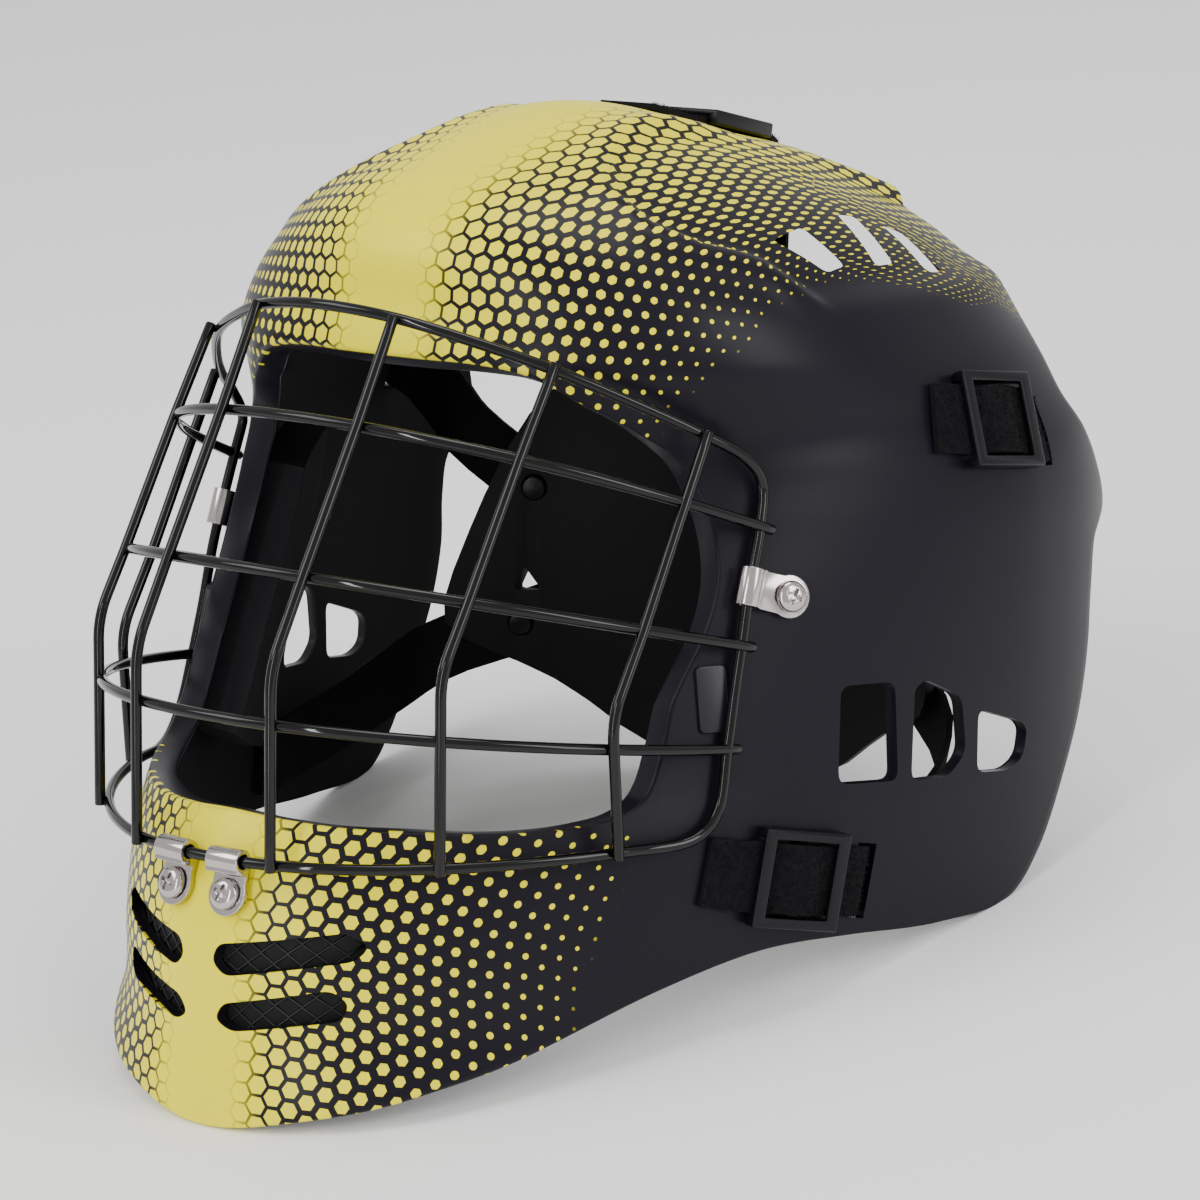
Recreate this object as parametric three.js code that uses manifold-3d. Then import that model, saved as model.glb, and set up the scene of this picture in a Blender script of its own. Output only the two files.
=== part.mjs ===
// Floorball goalie mask: a moulded shell with a welded wire cage, held round the head by a back plate
// on five elastic straps. Millimetres. The mask is drawn as it is worn: the face looks along -Y, up is
// +Z and the mirror plane is X = 0, with +X on the wearer's left. The whole of it is then tipped about
// X, so that the chin and the two rear corners of the shell stand on Z = 0.
import * as THREE from "three";
import { mergeVertices } from "three/addons/utils/BufferGeometryUtils.js";
import Module from "manifold-3d";

const wasm = await Module();
wasm.setup();

// ---- driving dimensions -------------------------------------------------------------------------
const WALL = 3.6; // moulded shell
const GAP = 0.35; // between pieces that touch
const LIP_DEPTH = 8; // turned-in edge of the face opening
const LIP_THICKNESS = 3;
const LIP_LEAN = 3; // how far the turned-in edge leans into the opening
const WIRE_RADIUS = 1.6;
const WELD_BITE = 1.3; // half the distance between the centre lines of two crossing wires
const STRAP_WIDTH = 20;
const STRAP_THICKNESS = 2;
const PLATE_THICKNESS = 3.5;
const PAD_THICKNESS = 11;
const REST_TILT = THREE.MathUtils.degToRad(10.29); // brings the rear corners down to the chin's level
const REST_SHIFT = new THREE.Vector3(0, -28.4, -27.62); // puts the middle of the base at the origin

const vec = (x, y, z) => new THREE.Vector3(x, y, z);
const mirrored = (point) => vec(-point.x, point.y, point.z);

// ---- shell surface ------------------------------------------------------------------------------
// Level sections of the outer surface. Each is two half superellipses, one in front of the middle
// line and one behind it, which meet at the half width.
const SHELL_SECTIONS = [
  { z: -14, middle: 98, halfWidth: 114, front: 211, back: 100, roundness: 1.9, rearRoundness: 2.4 },
  { z: 0, middle: 98, halfWidth: 122, front: 226.5, back: 104, roundness: 1.98, rearRoundness: 2.4 },
  { z: 12, middle: 98, halfWidth: 125, front: 228.5, back: 106, roundness: 2, rearRoundness: 2.4 },
  { z: 30, middle: 98, halfWidth: 126, front: 226.5, back: 107, roundness: 1.86, rearRoundness: 2.4 },
  { z: 52, middle: 98, halfWidth: 128.5, front: 227.5, back: 107, roundness: 1.78, rearRoundness: 2.4 },
  { z: 68, middle: 98, halfWidth: 129.5, front: 225.5, back: 107, roundness: 1.75, rearRoundness: 2.4 },
  { z: 82, middle: 98, halfWidth: 130, front: 219.5, back: 107, roundness: 1.75, rearRoundness: 2.4 },
  { z: 96, middle: 98, halfWidth: 130.5, front: 211, back: 107, roundness: 1.72, rearRoundness: 2.4 },
  { z: 120, middle: 98, halfWidth: 131, front: 196, back: 107, roundness: 1.7, rearRoundness: 2.4 },
  { z: 145, middle: 98, halfWidth: 131, front: 180, back: 107, roundness: 1.7, rearRoundness: 2.4 },
  { z: 166, middle: 97, halfWidth: 129.5, front: 165, back: 107, roundness: 1.72, rearRoundness: 2.4 },
  { z: 180, middle: 94, halfWidth: 126, front: 153, back: 106, roundness: 1.78, rearRoundness: 2.4 },
  { z: 190, middle: 90, halfWidth: 121, front: 145, back: 105, roundness: 1.88, rearRoundness: 2.4 },
  { z: 200, middle: 84, halfWidth: 117, front: 136, back: 106, roundness: 2.05, rearRoundness: 2.35 },
  { z: 211, middle: 76, halfWidth: 112, front: 127, back: 111, roundness: 2.22, rearRoundness: 2.2 },
  { z: 226, middle: 68, halfWidth: 104.5, front: 114.5, back: 115, roundness: 2.22, rearRoundness: 2.05 },
  { z: 240, middle: 62, halfWidth: 91, front: 107.5, back: 108, roundness: 2.08, rearRoundness: 1.9 },
  { z: 250, middle: 57, halfWidth: 76, front: 96.5, back: 95, roundness: 2.06, rearRoundness: 1.8 },
  { z: 258, middle: 52, halfWidth: 61, front: 80, back: 77, roundness: 2.1, rearRoundness: 1.8 },
  { z: 265, middle: 47, halfWidth: 47, front: 57, back: 50, roundness: 2.1, rearRoundness: 1.85 },
  { z: 272, middle: 41, halfWidth: 30, front: 31, back: 27, roundness: 2, rearRoundness: 2 },
  { z: 275.5, middle: 39, halfWidth: 15, front: 15, back: 15, roundness: 2, rearRoundness: 2 },
  { z: 277, middle: 38, halfWidth: 0, front: 0, back: 0, roundness: 2, rearRoundness: 2 },
];
const SHELL_TOP = SHELL_SECTIONS[SHELL_SECTIONS.length - 1].z;
const SHELL_CENTRE = vec(0, 20, 130); // every ray from here meets the surface once

// The smooth curve through one column of the table. The reaches are squared first, because a dome
// closes like a root.
function smoothColumn(column, power) {
  const z = SHELL_SECTIONS.map((row) => row.z);
  const value = SHELL_SECTIONS.map((row) => row[column] ** power);
  const last = z.length - 1;
  const rate = z.slice(1).map((top, i) => (value[i + 1] - value[i]) / (top - z[i]));
  const slope = z.map((_, i) => {
    if (i === 0) return rate[0];
    if (i === last) return rate[last - 1];
    const below = z[i] - z[i - 1];
    const above = z[i + 1] - z[i];
    return (rate[i - 1] * above + rate[i] * below) / (below + above);
  });
  return (height) => {
    const level = Math.min(Math.max(height, z[0]), z[last]);
    let i = 0;
    while (i < last - 1 && level > z[i + 1]) i += 1;
    const span = z[i + 1] - z[i];
    const t = (level - z[i]) / span;
    const blended = value[i] * (1 + 2 * t) * (1 - t) ** 2 + slope[i] * span * t * (1 - t) ** 2
      + value[i + 1] * t * t * (3 - 2 * t) + slope[i + 1] * span * t * t * (t - 1);
    return Math.max(blended, 1e-6) ** (1 / power);
  };
}
const middleAt = smoothColumn("middle", 1);
const halfWidthAt = smoothColumn("halfWidth", 2);
const frontAt = smoothColumn("front", 2);
const backAt = smoothColumn("back", 2);
const roundnessAt = smoothColumn("roundness", 1);
const rearRoundnessAt = smoothColumn("rearRoundness", 1);

// Below 1 inside the shell's outer surface and above 1 outside it.
function shellLevel(point) {
  if (point.z >= SHELL_TOP) return 2 + point.z - SHELL_TOP;
  const along = point.y - middleAt(point.z);
  const reach = along > 0 ? backAt(point.z) : frontAt(point.z);
  const roundness = along > 0 ? rearRoundnessAt(point.z) : roundnessAt(point.z);
  const across = Math.abs(point.x) / halfWidthAt(point.z);
  return (across ** roundness + (Math.abs(along) / reach) ** roundness) ** (1 / roundness);
}

function onShell(near) {
  const ray = near.clone().sub(SHELL_CENTRE).normalize();
  let inside = 20;
  let outside = 320;
  for (let i = 0; i < 40; i += 1) {
    const middle = (inside + outside) / 2;
    if (shellLevel(SHELL_CENTRE.clone().addScaledVector(ray, middle)) < 1) inside = middle;
    else outside = middle;
  }
  return SHELL_CENTRE.clone().addScaledVector(ray, inside);
}

function shellNormal(point) {
  const step = 0.4;
  const slope = (x, y, z) => shellLevel(point.clone().add(vec(x, y, z)))
    - shellLevel(point.clone().sub(vec(x, y, z)));
  return vec(slope(step, 0, 0), slope(0, step, 0), slope(0, 0, step)).normalize();
}

// 1 up to `flat` away, falling smoothly to 0 at `foot`.
function smoothRise(distance, flat, foot) {
  const t = Math.min(Math.max((foot - Math.abs(distance)) / (foot - flat), 0), 1);
  return t * t * (3 - 2 * t);
}

function offShell(near, height) {
  const point = onShell(near);
  return point.addScaledVector(shellNormal(point), height);
}

// ---- meshes and solids --------------------------------------------------------------------------
const TURNED_SIDES = 16;

// A closed mesh over rings of points: ring after ring, each with the same count. The rings either
// close on the first one or end in flat fans.
function skin(rings, closed) {
  const count = rings[0].length;
  const points = rings.flat();
  const index = [];
  const turns = closed ? rings.length : rings.length - 1;
  for (let i = 0; i < turns; i += 1) {
    const here = i * count;
    const next = ((i + 1) % rings.length) * count;
    for (let j = 0; j < count; j += 1) {
      const k = (j + 1) % count;
      index.push(here + j, next + j, next + k, here + j, next + k, here + k);
    }
  }
  if (!closed) {
    const end = (rings.length - 1) * count;
    for (let j = 1; j < count - 1; j += 1) {
      index.push(0, j, j + 1, end, end + j + 1, end + j);
    }
  }
  const geometry = new THREE.BufferGeometry();
  const flat = points.flatMap((p) => [p.x, p.y, p.z]);
  geometry.setAttribute("position", new THREE.Float32BufferAttribute(flat, 3));
  geometry.setIndex(index);
  return facingOut(geometry);
}

function facingOut(geometry) {
  const position = geometry.getAttribute("position");
  const index = geometry.getIndex().array;
  const corner = [vec(0, 0, 0), vec(0, 0, 0), vec(0, 0, 0)];
  let volume = 0;
  for (let i = 0; i < index.length; i += 3) {
    corner.forEach((c, k) => c.fromBufferAttribute(position, index[i + k]));
    volume += corner[0].dot(corner[1].clone().cross(corner[2]));
  }
  if (volume < 0) {
    for (let i = 0; i < index.length; i += 3) {
      [index[i + 1], index[i + 2]] = [index[i + 2], index[i + 1]];
    }
  }
  return geometry;
}

function solid(geometry) {
  let bare = geometry.clone();
  bare.deleteAttribute("normal");
  bare.deleteAttribute("uv");
  bare = mergeVertices(bare, 1e-4);
  return new wasm.Manifold(new wasm.Mesh({
    numProp: 3,
    vertProperties: new Float32Array(bare.getAttribute("position").array),
    triVerts: new Uint32Array(bare.getIndex().array),
  }));
}

function geometryOf(body) {
  const mesh = body.getMesh();
  const geometry = new THREE.BufferGeometry();
  geometry.setAttribute("position", new THREE.Float32BufferAttribute(Array.from(mesh.vertProperties), 3));
  geometry.setIndex(Array.from(mesh.triVerts));
  return geometry;
}

// A round bar through a row of centre points.
function bar(points, radius, closed, sides = 8) {
  const at = (i) => (closed ? points[(i + points.length) % points.length]
    : points[Math.min(Math.max(i, 0), points.length - 1)]);
  let side = null;
  const rings = points.map((centre, i) => {
    const along = at(i + 1).clone().sub(at(i - 1)).normalize();
    if (!side) side = Math.abs(along.x) > 0.9 ? vec(0, 0, 1) : vec(1, 0, 0);
    side = side.clone().addScaledVector(along, -side.dot(along)).normalize();
    const up = along.clone().cross(side);
    return Array.from({ length: sides }, (_, k) => {
      const turn = (2 * Math.PI * (k + 0.5)) / sides;
      return centre.clone().addScaledVector(side, radius * Math.cos(turn))
        .addScaledVector(up, radius * Math.sin(turn));
    });
  });
  return skin(rings, closed);
}

// A flat band through a row of stations, each with a centre and the direction of its width.
function band(stations, width, thickness) {
  const last = stations.length - 1;
  const rings = stations.map(({ centre, across }, i) => {
    const along = stations[Math.min(i + 1, last)].centre.clone()
      .sub(stations[Math.max(i - 1, 0)].centre).normalize();
    const face = along.clone().cross(across).normalize();
    const side = face.clone().cross(along).multiplyScalar(width / 2);
    const up = face.multiplyScalar(thickness / 2);
    return [centre.clone().add(side).add(up), centre.clone().sub(side).add(up),
      centre.clone().sub(side).sub(up), centre.clone().add(side).sub(up)];
  });
  return skin(rings, false);
}

// A closed pad or panel between two offsets from the shell surface, over a grid of rough points.
function lining(grid, nearOffset, farOffset) {
  const rings = grid.map((row) => {
    const face = row.map((point) => offShell(point, nearOffset));
    const back = row.map((point) => offShell(point, farOffset)).reverse();
    return [...face, ...back];
  });
  return skin(rings, false);
}

function roundedShape(points, radius) {
  const shape = new THREE.Shape();
  points.forEach(([x, y], i) => {
    const before = points[(i + points.length - 1) % points.length];
    const after = points[(i + 1) % points.length];
    const toBefore = new THREE.Vector2(before[0] - x, before[1] - y);
    const toAfter = new THREE.Vector2(after[0] - x, after[1] - y);
    const enter = toBefore.clone().setLength(Math.min(radius, toBefore.length() * 0.45));
    const leave = toAfter.clone().setLength(Math.min(radius, toAfter.length() * 0.45));
    if (i === 0) shape.moveTo(x + enter.x, y + enter.y);
    else shape.lineTo(x + enter.x, y + enter.y);
    shape.quadraticCurveTo(x, y, x + leave.x, y + leave.y);
  });
  shape.closePath();
  return shape;
}

// A turned piece about Z. Each point of the profile is [radius, height].
function turned(profile) {
  const lathe = new THREE.LatheGeometry(profile.map((p) => new THREE.Vector2(...p)), TURNED_SIDES);
  return geometryOf(solid(lathe.rotateX(Math.PI / 2)));
}

// A prism over an outline whose first and second columns lie along `right` and `up`.
function prism(points, radius, right, up, from, to) {
  const out = right.clone().cross(up).normalize();
  const geometry = new THREE.ExtrudeGeometry(roundedShape(points, radius),
    { depth: to - from, bevelEnabled: false, curveSegments: 2 });
  geometry.translate(0, 0, from);
  geometry.applyMatrix4(new THREE.Matrix4().makeBasis(right, up, out));
  return solid(geometry);
}

// Right-handed axes on the shell at a point: x along `along`, z out of the surface.
function seat(near, along) {
  const origin = onShell(near);
  const out = shellNormal(origin);
  const right = along.clone().addScaledVector(out, -along.dot(out)).normalize();
  const up = out.clone().cross(right);
  return new THREE.Matrix4().makeBasis(right, up, out).setPosition(origin);
}

function placed(geometry, matrix) {
  return geometry.clone().applyMatrix4(matrix);
}

function box(x, y, z, centreX = 0, centreY = 0, centreZ = 0) {
  return new THREE.BoxGeometry(x, y, z).translate(centreX, centreY, centreZ);
}

function pinAlongZ(radius, from, to, segments = TURNED_SIDES) {
  return new THREE.CylinderGeometry(radius, radius, to - from, segments)
    .rotateX(Math.PI / 2).translate(0, 0, (from + to) / 2);
}

function joined(geometries) {
  return geometries.map((geometry) => solid(geometry)).reduce((sum, part) => sum.add(part));
}

// ---- shell --------------------------------------------------------------------------------------
// Ribs of the right half, from the top of the opening down to the chin. Each runs over the surface
// from the edge of the face opening (`lip`) to the outer edge of the shell (`rim`).
const RIBS = [
  { lip: [0, -50, 212], rim: [0, 142, 256] },
  { lip: [16, -48.5, 211], rim: [24, 141.5, 254.5] },
  { lip: [31, -44.5, 209], rim: [48, 140, 249.5] },
  { lip: [43, -39, 205], rim: [70, 137, 241] },
  { lip: [56, -31, 197.5], rim: [88, 134, 229] },
  { lip: [69, -21.5, 190.5], rim: [99.5, 132.5, 214] },
  { lip: [78, -14, 184], rim: [109, 129, 203] },
  { lip: [84, -11, 175], rim: [116, 129, 191] },
  { lip: [88, -10, 165], rim: [121, 134.8, 179] },
  { lip: [90.5, -11, 154], rim: [123.3, 139.5, 167] },
  { lip: [91.5, -14, 145], rim: [123.8, 142, 155.3] },
  { lip: [92, -19, 136], rim: [127.3, 131.5, 146] },
  { lip: [91, -25, 127], rim: [128.2, 128.8, 132] },
  { lip: [90, -30, 119], rim: [128.3, 128, 115] },
  { lip: [90, -33, 111], rim: [129, 123, 95] },
  { lip: [90, -36, 104], rim: [129.3, 112, 74] },
  { lip: [90, -39, 98], rim: [128.8, 101, 56] },
  { lip: [89, -42.5, 93.5], rim: [127.5, 88, 44.3] },
  { lip: [86, -49, 90], rim: [124, 55, 43] },
  { lip: [80, -58, 88.5], rim: [117, 18, 46] },
  { lip: [73, -67, 88], rim: [107.3, -12, 47] },
  { lip: [62, -81, 88], rim: [95, -41.5, 40.5] },
  { lip: [48, -95, 89], rim: [78, -75, 27.5] },
  { lip: [33, -105, 90], rim: [57, -106, 17] },
  { lip: [17, -112, 91.5], rim: [30, -124.5, 10] },
  { lip: [0, -114, 93], rim: [0, -129.5, 6.5] },
];
const RIB_STEPS = 2; // mesh ribs for each row of the table
const SPANS_OUTSIDE = 12;
const SPANS_INSIDE = 8;

function edgeCurve(column) {
  const half = RIBS.map((row) => onShell(vec(...row[column])));
  const far = half.slice(1, -1).reverse().map(mirrored);
  return new THREE.CatmullRomCurve3([...half, ...far], true, "centripetal");
}
const lipCurve = edgeCurve("lip");
const rimCurve = edgeCurve("rim");
const RIB_COUNT = 2 * (RIBS.length - 1);

// A rough point on a rib, a given part of the way from the lip to the rim.
function ribPoint(row, part) {
  const turn = (((row % RIB_COUNT) + RIB_COUNT) % RIB_COUNT) / RIB_COUNT;
  const from = lipCurve.getPoint(turn).sub(SHELL_CENTRE).normalize();
  const to = rimCurve.getPoint(turn).sub(SHELL_CENTRE).normalize();
  const angle = from.angleTo(to);
  const direction = from.multiplyScalar(Math.sin((1 - part) * angle))
    .addScaledVector(to, Math.sin(part * angle)).normalize();
  return direction.multiplyScalar(100).add(SHELL_CENTRE);
}

// The same by distance over the surface from the lip.
function ribPointAt(row, distance) {
  const start = onShell(ribPoint(row, 0));
  let low = 0;
  let high = 1;
  for (let i = 0; i < 20; i += 1) {
    const part = (low + high) / 2;
    if (onShell(ribPoint(row, part)).distanceTo(start) < distance) low = part;
    else high = part;
  }
  return ribPoint(row, low);
}

function shellRing(row) {
  const parts = (count) => Array.from({ length: count + 1 }, (_, i) => i / count);
  const outer = parts(SPANS_OUTSIDE).map((part) => onShell(ribPoint(row, part)));
  const turned = onShell(ribPointAt(row, LIP_THICKNESS));
  const first = onShell(ribPoint(row, 0));
  const firstPart = LIP_THICKNESS / ribLength(row);
  const inner = parts(SPANS_INSIDE)
    .map((part) => offShell(ribPoint(row, firstPart + (1 - firstPart) * part), -WALL)).reverse();
  const rim = outer[outer.length - 1];
  const outward = rim.clone().sub(outer[outer.length - 2]).normalize();
  const round = rim.clone().addScaledVector(shellNormal(rim), -WALL / 2)
    .addScaledVector(outward, WALL * 0.35);
  const down = shellNormal(first).multiplyScalar(-LIP_DEPTH)
    .addScaledVector(turned.clone().sub(first).normalize(), -LIP_LEAN);
  return [...outer, round, ...inner, turned.clone().add(down), first.clone().add(down)];
}

function ribLength(row) {
  const count = 12;
  const points = Array.from({ length: count + 1 }, (_, i) => onShell(ribPoint(row, i / count)));
  return points.slice(1).reduce((sum, point, i) => sum + point.distanceTo(points[i]), 0);
}

// Outlines of the openings in the right half; each is cut on both sides. Side vents lie in the YZ
// plane, crown vents in XY and the mouth slots in XZ.
const SIDE_VENTS = [
  [[18, 119], [36, 118], [36, 89], [15, 91]],
  [[43, 115], [47, 117], [61, 110], [63, 93], [56, 87], [41, 88]],
  [[68, 105], [88, 98], [91, 95], [90, 87], [83, 84], [68, 86]],
];
const CROWN_VENTS = [
  [[79, 31], [78, 47], [92, 49], [92, 40]],
  [[75, 69], [76, 77], [94, 71], [94, 62]],
  [[79, 86], [82, 93], [97, 93], [97, 85]],
];
const MOUTH_SLOTS = [
  [[5, 53], [7, 58], [40, 63], [45, 59], [42, 55], [9, 49]],
  [[5, 36], [8, 41], [37, 47], [41, 43], [39, 38], [10, 33]],
];
const TABLET = { centre: [95.5, -19.5, 119.5], width: 9, height: 19, rise: 1.3 };
const SCREW = { shank: 1.9, hole: 2.3, head: 4.5, headHeight: 2.4, past: 0.6 };

const flipX = (points) => points.map(([x, y]) => [-x, y]).reverse();
const AXIS = { x: vec(1, 0, 0), y: vec(0, 1, 0), z: vec(0, 0, 1) };

function shellSolid(straps, clips) {
  const rings = Array.from({ length: RIB_COUNT * RIB_STEPS }, (_, i) => shellRing(i / RIB_STEPS));
  let body = solid(skin(rings, true));
  SIDE_VENTS.forEach((outline) => {
    body = body.subtract(prism(outline, 3.5, AXIS.y, AXIS.z, -160, 160));
  });
  CROWN_VENTS.forEach((outline) => {
    body = body.subtract(prism(outline, 2, AXIS.x, AXIS.y, 200, 300));
    body = body.subtract(prism(flipX(outline), 2, AXIS.x, AXIS.y, 200, 300));
  });
  MOUTH_SLOTS.forEach((outline) => {
    body = body.subtract(prism(outline, 2.5, AXIS.x, AXIS.z, 80, 170));
    body = body.subtract(prism(flipX(outline), 2.5, AXIS.x, AXIS.z, 80, 170));
  });
  straps.forEach((strap) => {
    const slot = box(STRAP_SLOT.length, STRAP_WIDTH + 2, 30, STRAP_SLOT.shift);
    body = body.subtract(solid(placed(slot, strap.slotSeat)));
  });
  clips.forEach((clip) => {
    body = body.subtract(solid(placed(pinAlongZ(SCREW.hole, -20, 20), clip.screwSeat)));
  });
  [1, -1].forEach((side) => {
    const [x, y, z] = TABLET.centre;
    const tablet = seat(vec(side * x, y, z), AXIS.z);
    const plate = box(TABLET.height, TABLET.width, TABLET.rise + 2, 0, 0, (TABLET.rise - 2) / 2);
    body = body.add(solid(placed(plate, tablet)));
  });
  return body;
}

// ---- wire cage ----------------------------------------------------------------------------------
// The border wire, from the middle of the brow down to the middle of the chin, right half.
const CAGE_BORDER = [
  { x: 0, y: -75.5, z: 228.8 },
  { x: 24.5, y: -71.5, z: 226.5 },
  { x: 44, y: -62, z: 220.8 },
  { x: 62.8, y: -49.4, z: 213.2 },
  { x: 79, y: -33, z: 203.2 },
  { x: 91, y: -17.6, z: 193.9 },
  { x: 97.5, y: -5.5, z: 186.2 },
  { x: 99.2, y: 0.3, z: 178.5 },
  { x: 98.7, y: -1, z: 166 },
  { x: 99.6, y: -7.3, z: 149 },
  { x: 100.2, y: -12.8, z: 130 },
  { x: 100.6, y: -19.4, z: 106 },
  { x: 100.5, y: -25, z: 88 },
  { x: 98.8, y: -33, z: 82.3 },
  { x: 91, y: -57, z: 82 },
  { x: 79, y: -79.5, z: 82 },
  { x: 62.8, y: -99.8, z: 82 },
  { x: 44, y: -115.4, z: 82 },
  { x: 24.5, y: -125, z: 82 },
  { x: 0, y: -128.5, z: 82 },
];
// Level bars: each lies in a sloping plane and follows an ellipse in plan, ending past the border.
const CAGE_BARS = [
  { z: 198.7, slope: 0.379, at: -87, halfX: 102.4, halfY: 112, middle: 21.8, endY: 1.5 },
  { z: 160.2, slope: 0.265, at: -110, halfX: 103.4, halfY: 125, middle: 11.4, endY: -9 },
  { z: 121.4, slope: 0.147, at: -124, halfX: 103.6, halfY: 135, middle: 6.5, endY: -16 },
];
// Upright bars, each bent once at the height of the mouth.
const CAGE_UPRIGHTS = [
  { x: 24.5, path: [[-71, 227.4], [-87, 198.7], [-110, 160.2], [-123.6, 136.8], [-124, 121.4], [-125, 80.6]] },
  { x: 62.8, path: [[-48.9, 215.1], [-65.2, 190], [-87.3, 153.7], [-98.7, 136], [-99, 117.6], [-99.8, 80.6]] },
  { x: 91, path: [[-17, 194.8], [-27.8, 176], [-46.7, 142.8], [-60.2, 121.4], [-59.6, 111.4], [-57.5, 80.6]] },
];
const UPRIGHT_BEND = 7;
// Least height of the border wire's centre line over the shell: beside the side clip and elsewhere.
const WIRE_HEIGHT = { atClip: 3.9, elsewhere: 3.2, clipLevel: 149, near: 9, far: 32 };

// Outward across the plan of the cage, which is close to an ellipse.
function cageOutward(point) {
  const halfX = 102;
  const halfY = 125;
  const middle = 10;
  return vec(point.x / halfX ** 2, (point.y - middle) / halfY ** 2, 0).normalize();
}

function borderPoints() {
  const half = CAGE_BORDER.map(({ x, y, z }) => vec(x, y, z));
  const far = half.slice(1, -1).reverse().map(mirrored);
  const curve = new THREE.CatmullRomCurve3([...half, ...far], true, "centripetal");
  const count = 2 * (half.length + far.length);
  const points = Array.from({ length: count }, (_, i) => curve.getPoint(i / count));
  return points.map((point) => {
    point.addScaledVector(cageOutward(point), -WELD_BITE);
    const foot = onShell(point);
    const normal = shellNormal(foot);
    const { atClip, elsewhere, clipLevel, near, far } = WIRE_HEIGHT;
    const wanted = elsewhere + (atClip - elsewhere) * smoothRise(point.z - clipLevel, near, far);
    const height = point.clone().sub(foot).dot(normal);
    return height < wanted ? point.addScaledVector(normal, wanted - height) : point;
  });
}

// The stretch of border wire that passes closest to a point: a point on it and its direction.
function borderNear(target) {
  const points = borderPoints();
  const stretches = points.map((start, i) => {
    const line = new THREE.Line3(start, points[(i + 1) % points.length]);
    const nearest = line.closestPointToPoint(target, true, vec(0, 0, 0));
    return { nearest, along: line.delta(vec(0, 0, 0)).normalize(), gap: nearest.distanceTo(target) };
  });
  return stretches.sort((a, b) => a.gap - b.gap)[0];
}

function levelBar({ z, slope, at, halfX, halfY, middle, endY }) {
  const inset = 2 * WELD_BITE * 0.55; // the bar lies just inside the uprights and outside the border
  const end = Math.acos((middle - endY) / halfY);
  const steps = 22;
  const points = Array.from({ length: steps + 1 }, (_, i) => {
    const turn = end * (1 - (2 * i) / steps);
    const y = middle - (halfY - inset) * Math.cos(turn);
    return vec(halfX * Math.sin(turn), y, z - slope * (y - at));
  });
  return bar(points, WIRE_RADIUS, false);
}

function uprightBar(x, path) {
  const corner = path[3];
  const toward = (other) => new THREE.Vector2(other[0] - corner[0], other[1] - corner[1])
    .setLength(UPRIGHT_BEND).add(new THREE.Vector2(...corner));
  const bend = new THREE.QuadraticBezierCurve(toward(path[2]), new THREE.Vector2(...corner), toward(path[4]));
  const plane = [...path.slice(0, 3).map((p) => new THREE.Vector2(...p)), ...bend.getPoints(4),
    ...path.slice(4).map((p) => new THREE.Vector2(...p))];
  const points = plane.map((p) => {
    const point = vec(x, p.x, p.y);
    return point.addScaledVector(cageOutward(point), WELD_BITE);
  });
  return bar(points, WIRE_RADIUS, false);
}

function cageSolid() {
  let body = solid(bar(borderPoints(), WIRE_RADIUS, true));
  CAGE_BARS.forEach((row) => {
    body = body.add(solid(levelBar(row)));
  });
  CAGE_UPRIGHTS.forEach(({ x, path }) => {
    body = body.add(solid(uprightBar(x, path)));
    body = body.add(solid(uprightBar(-x, path)));
  });
  return body;
}

// ---- cage clips and screws ----------------------------------------------------------------------
// Each clip wraps the border wire where it passes closest to `wire`, and is screwed down at `screw`.
const CLIPS = [
  { name: "chin", wire: [9.7, -127, 82], screw: [9.7, -127, 70.7] },
  { name: "side", wire: [98.4, -6.7, 149], screw: [104, 4.5, 146] },
];
const CLIP = { width: 11, thickness: 1.8, lug: 6.2, loop: 1.3, clearance: 0.5, lift: 0.9, webShift: 1.2 };

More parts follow.
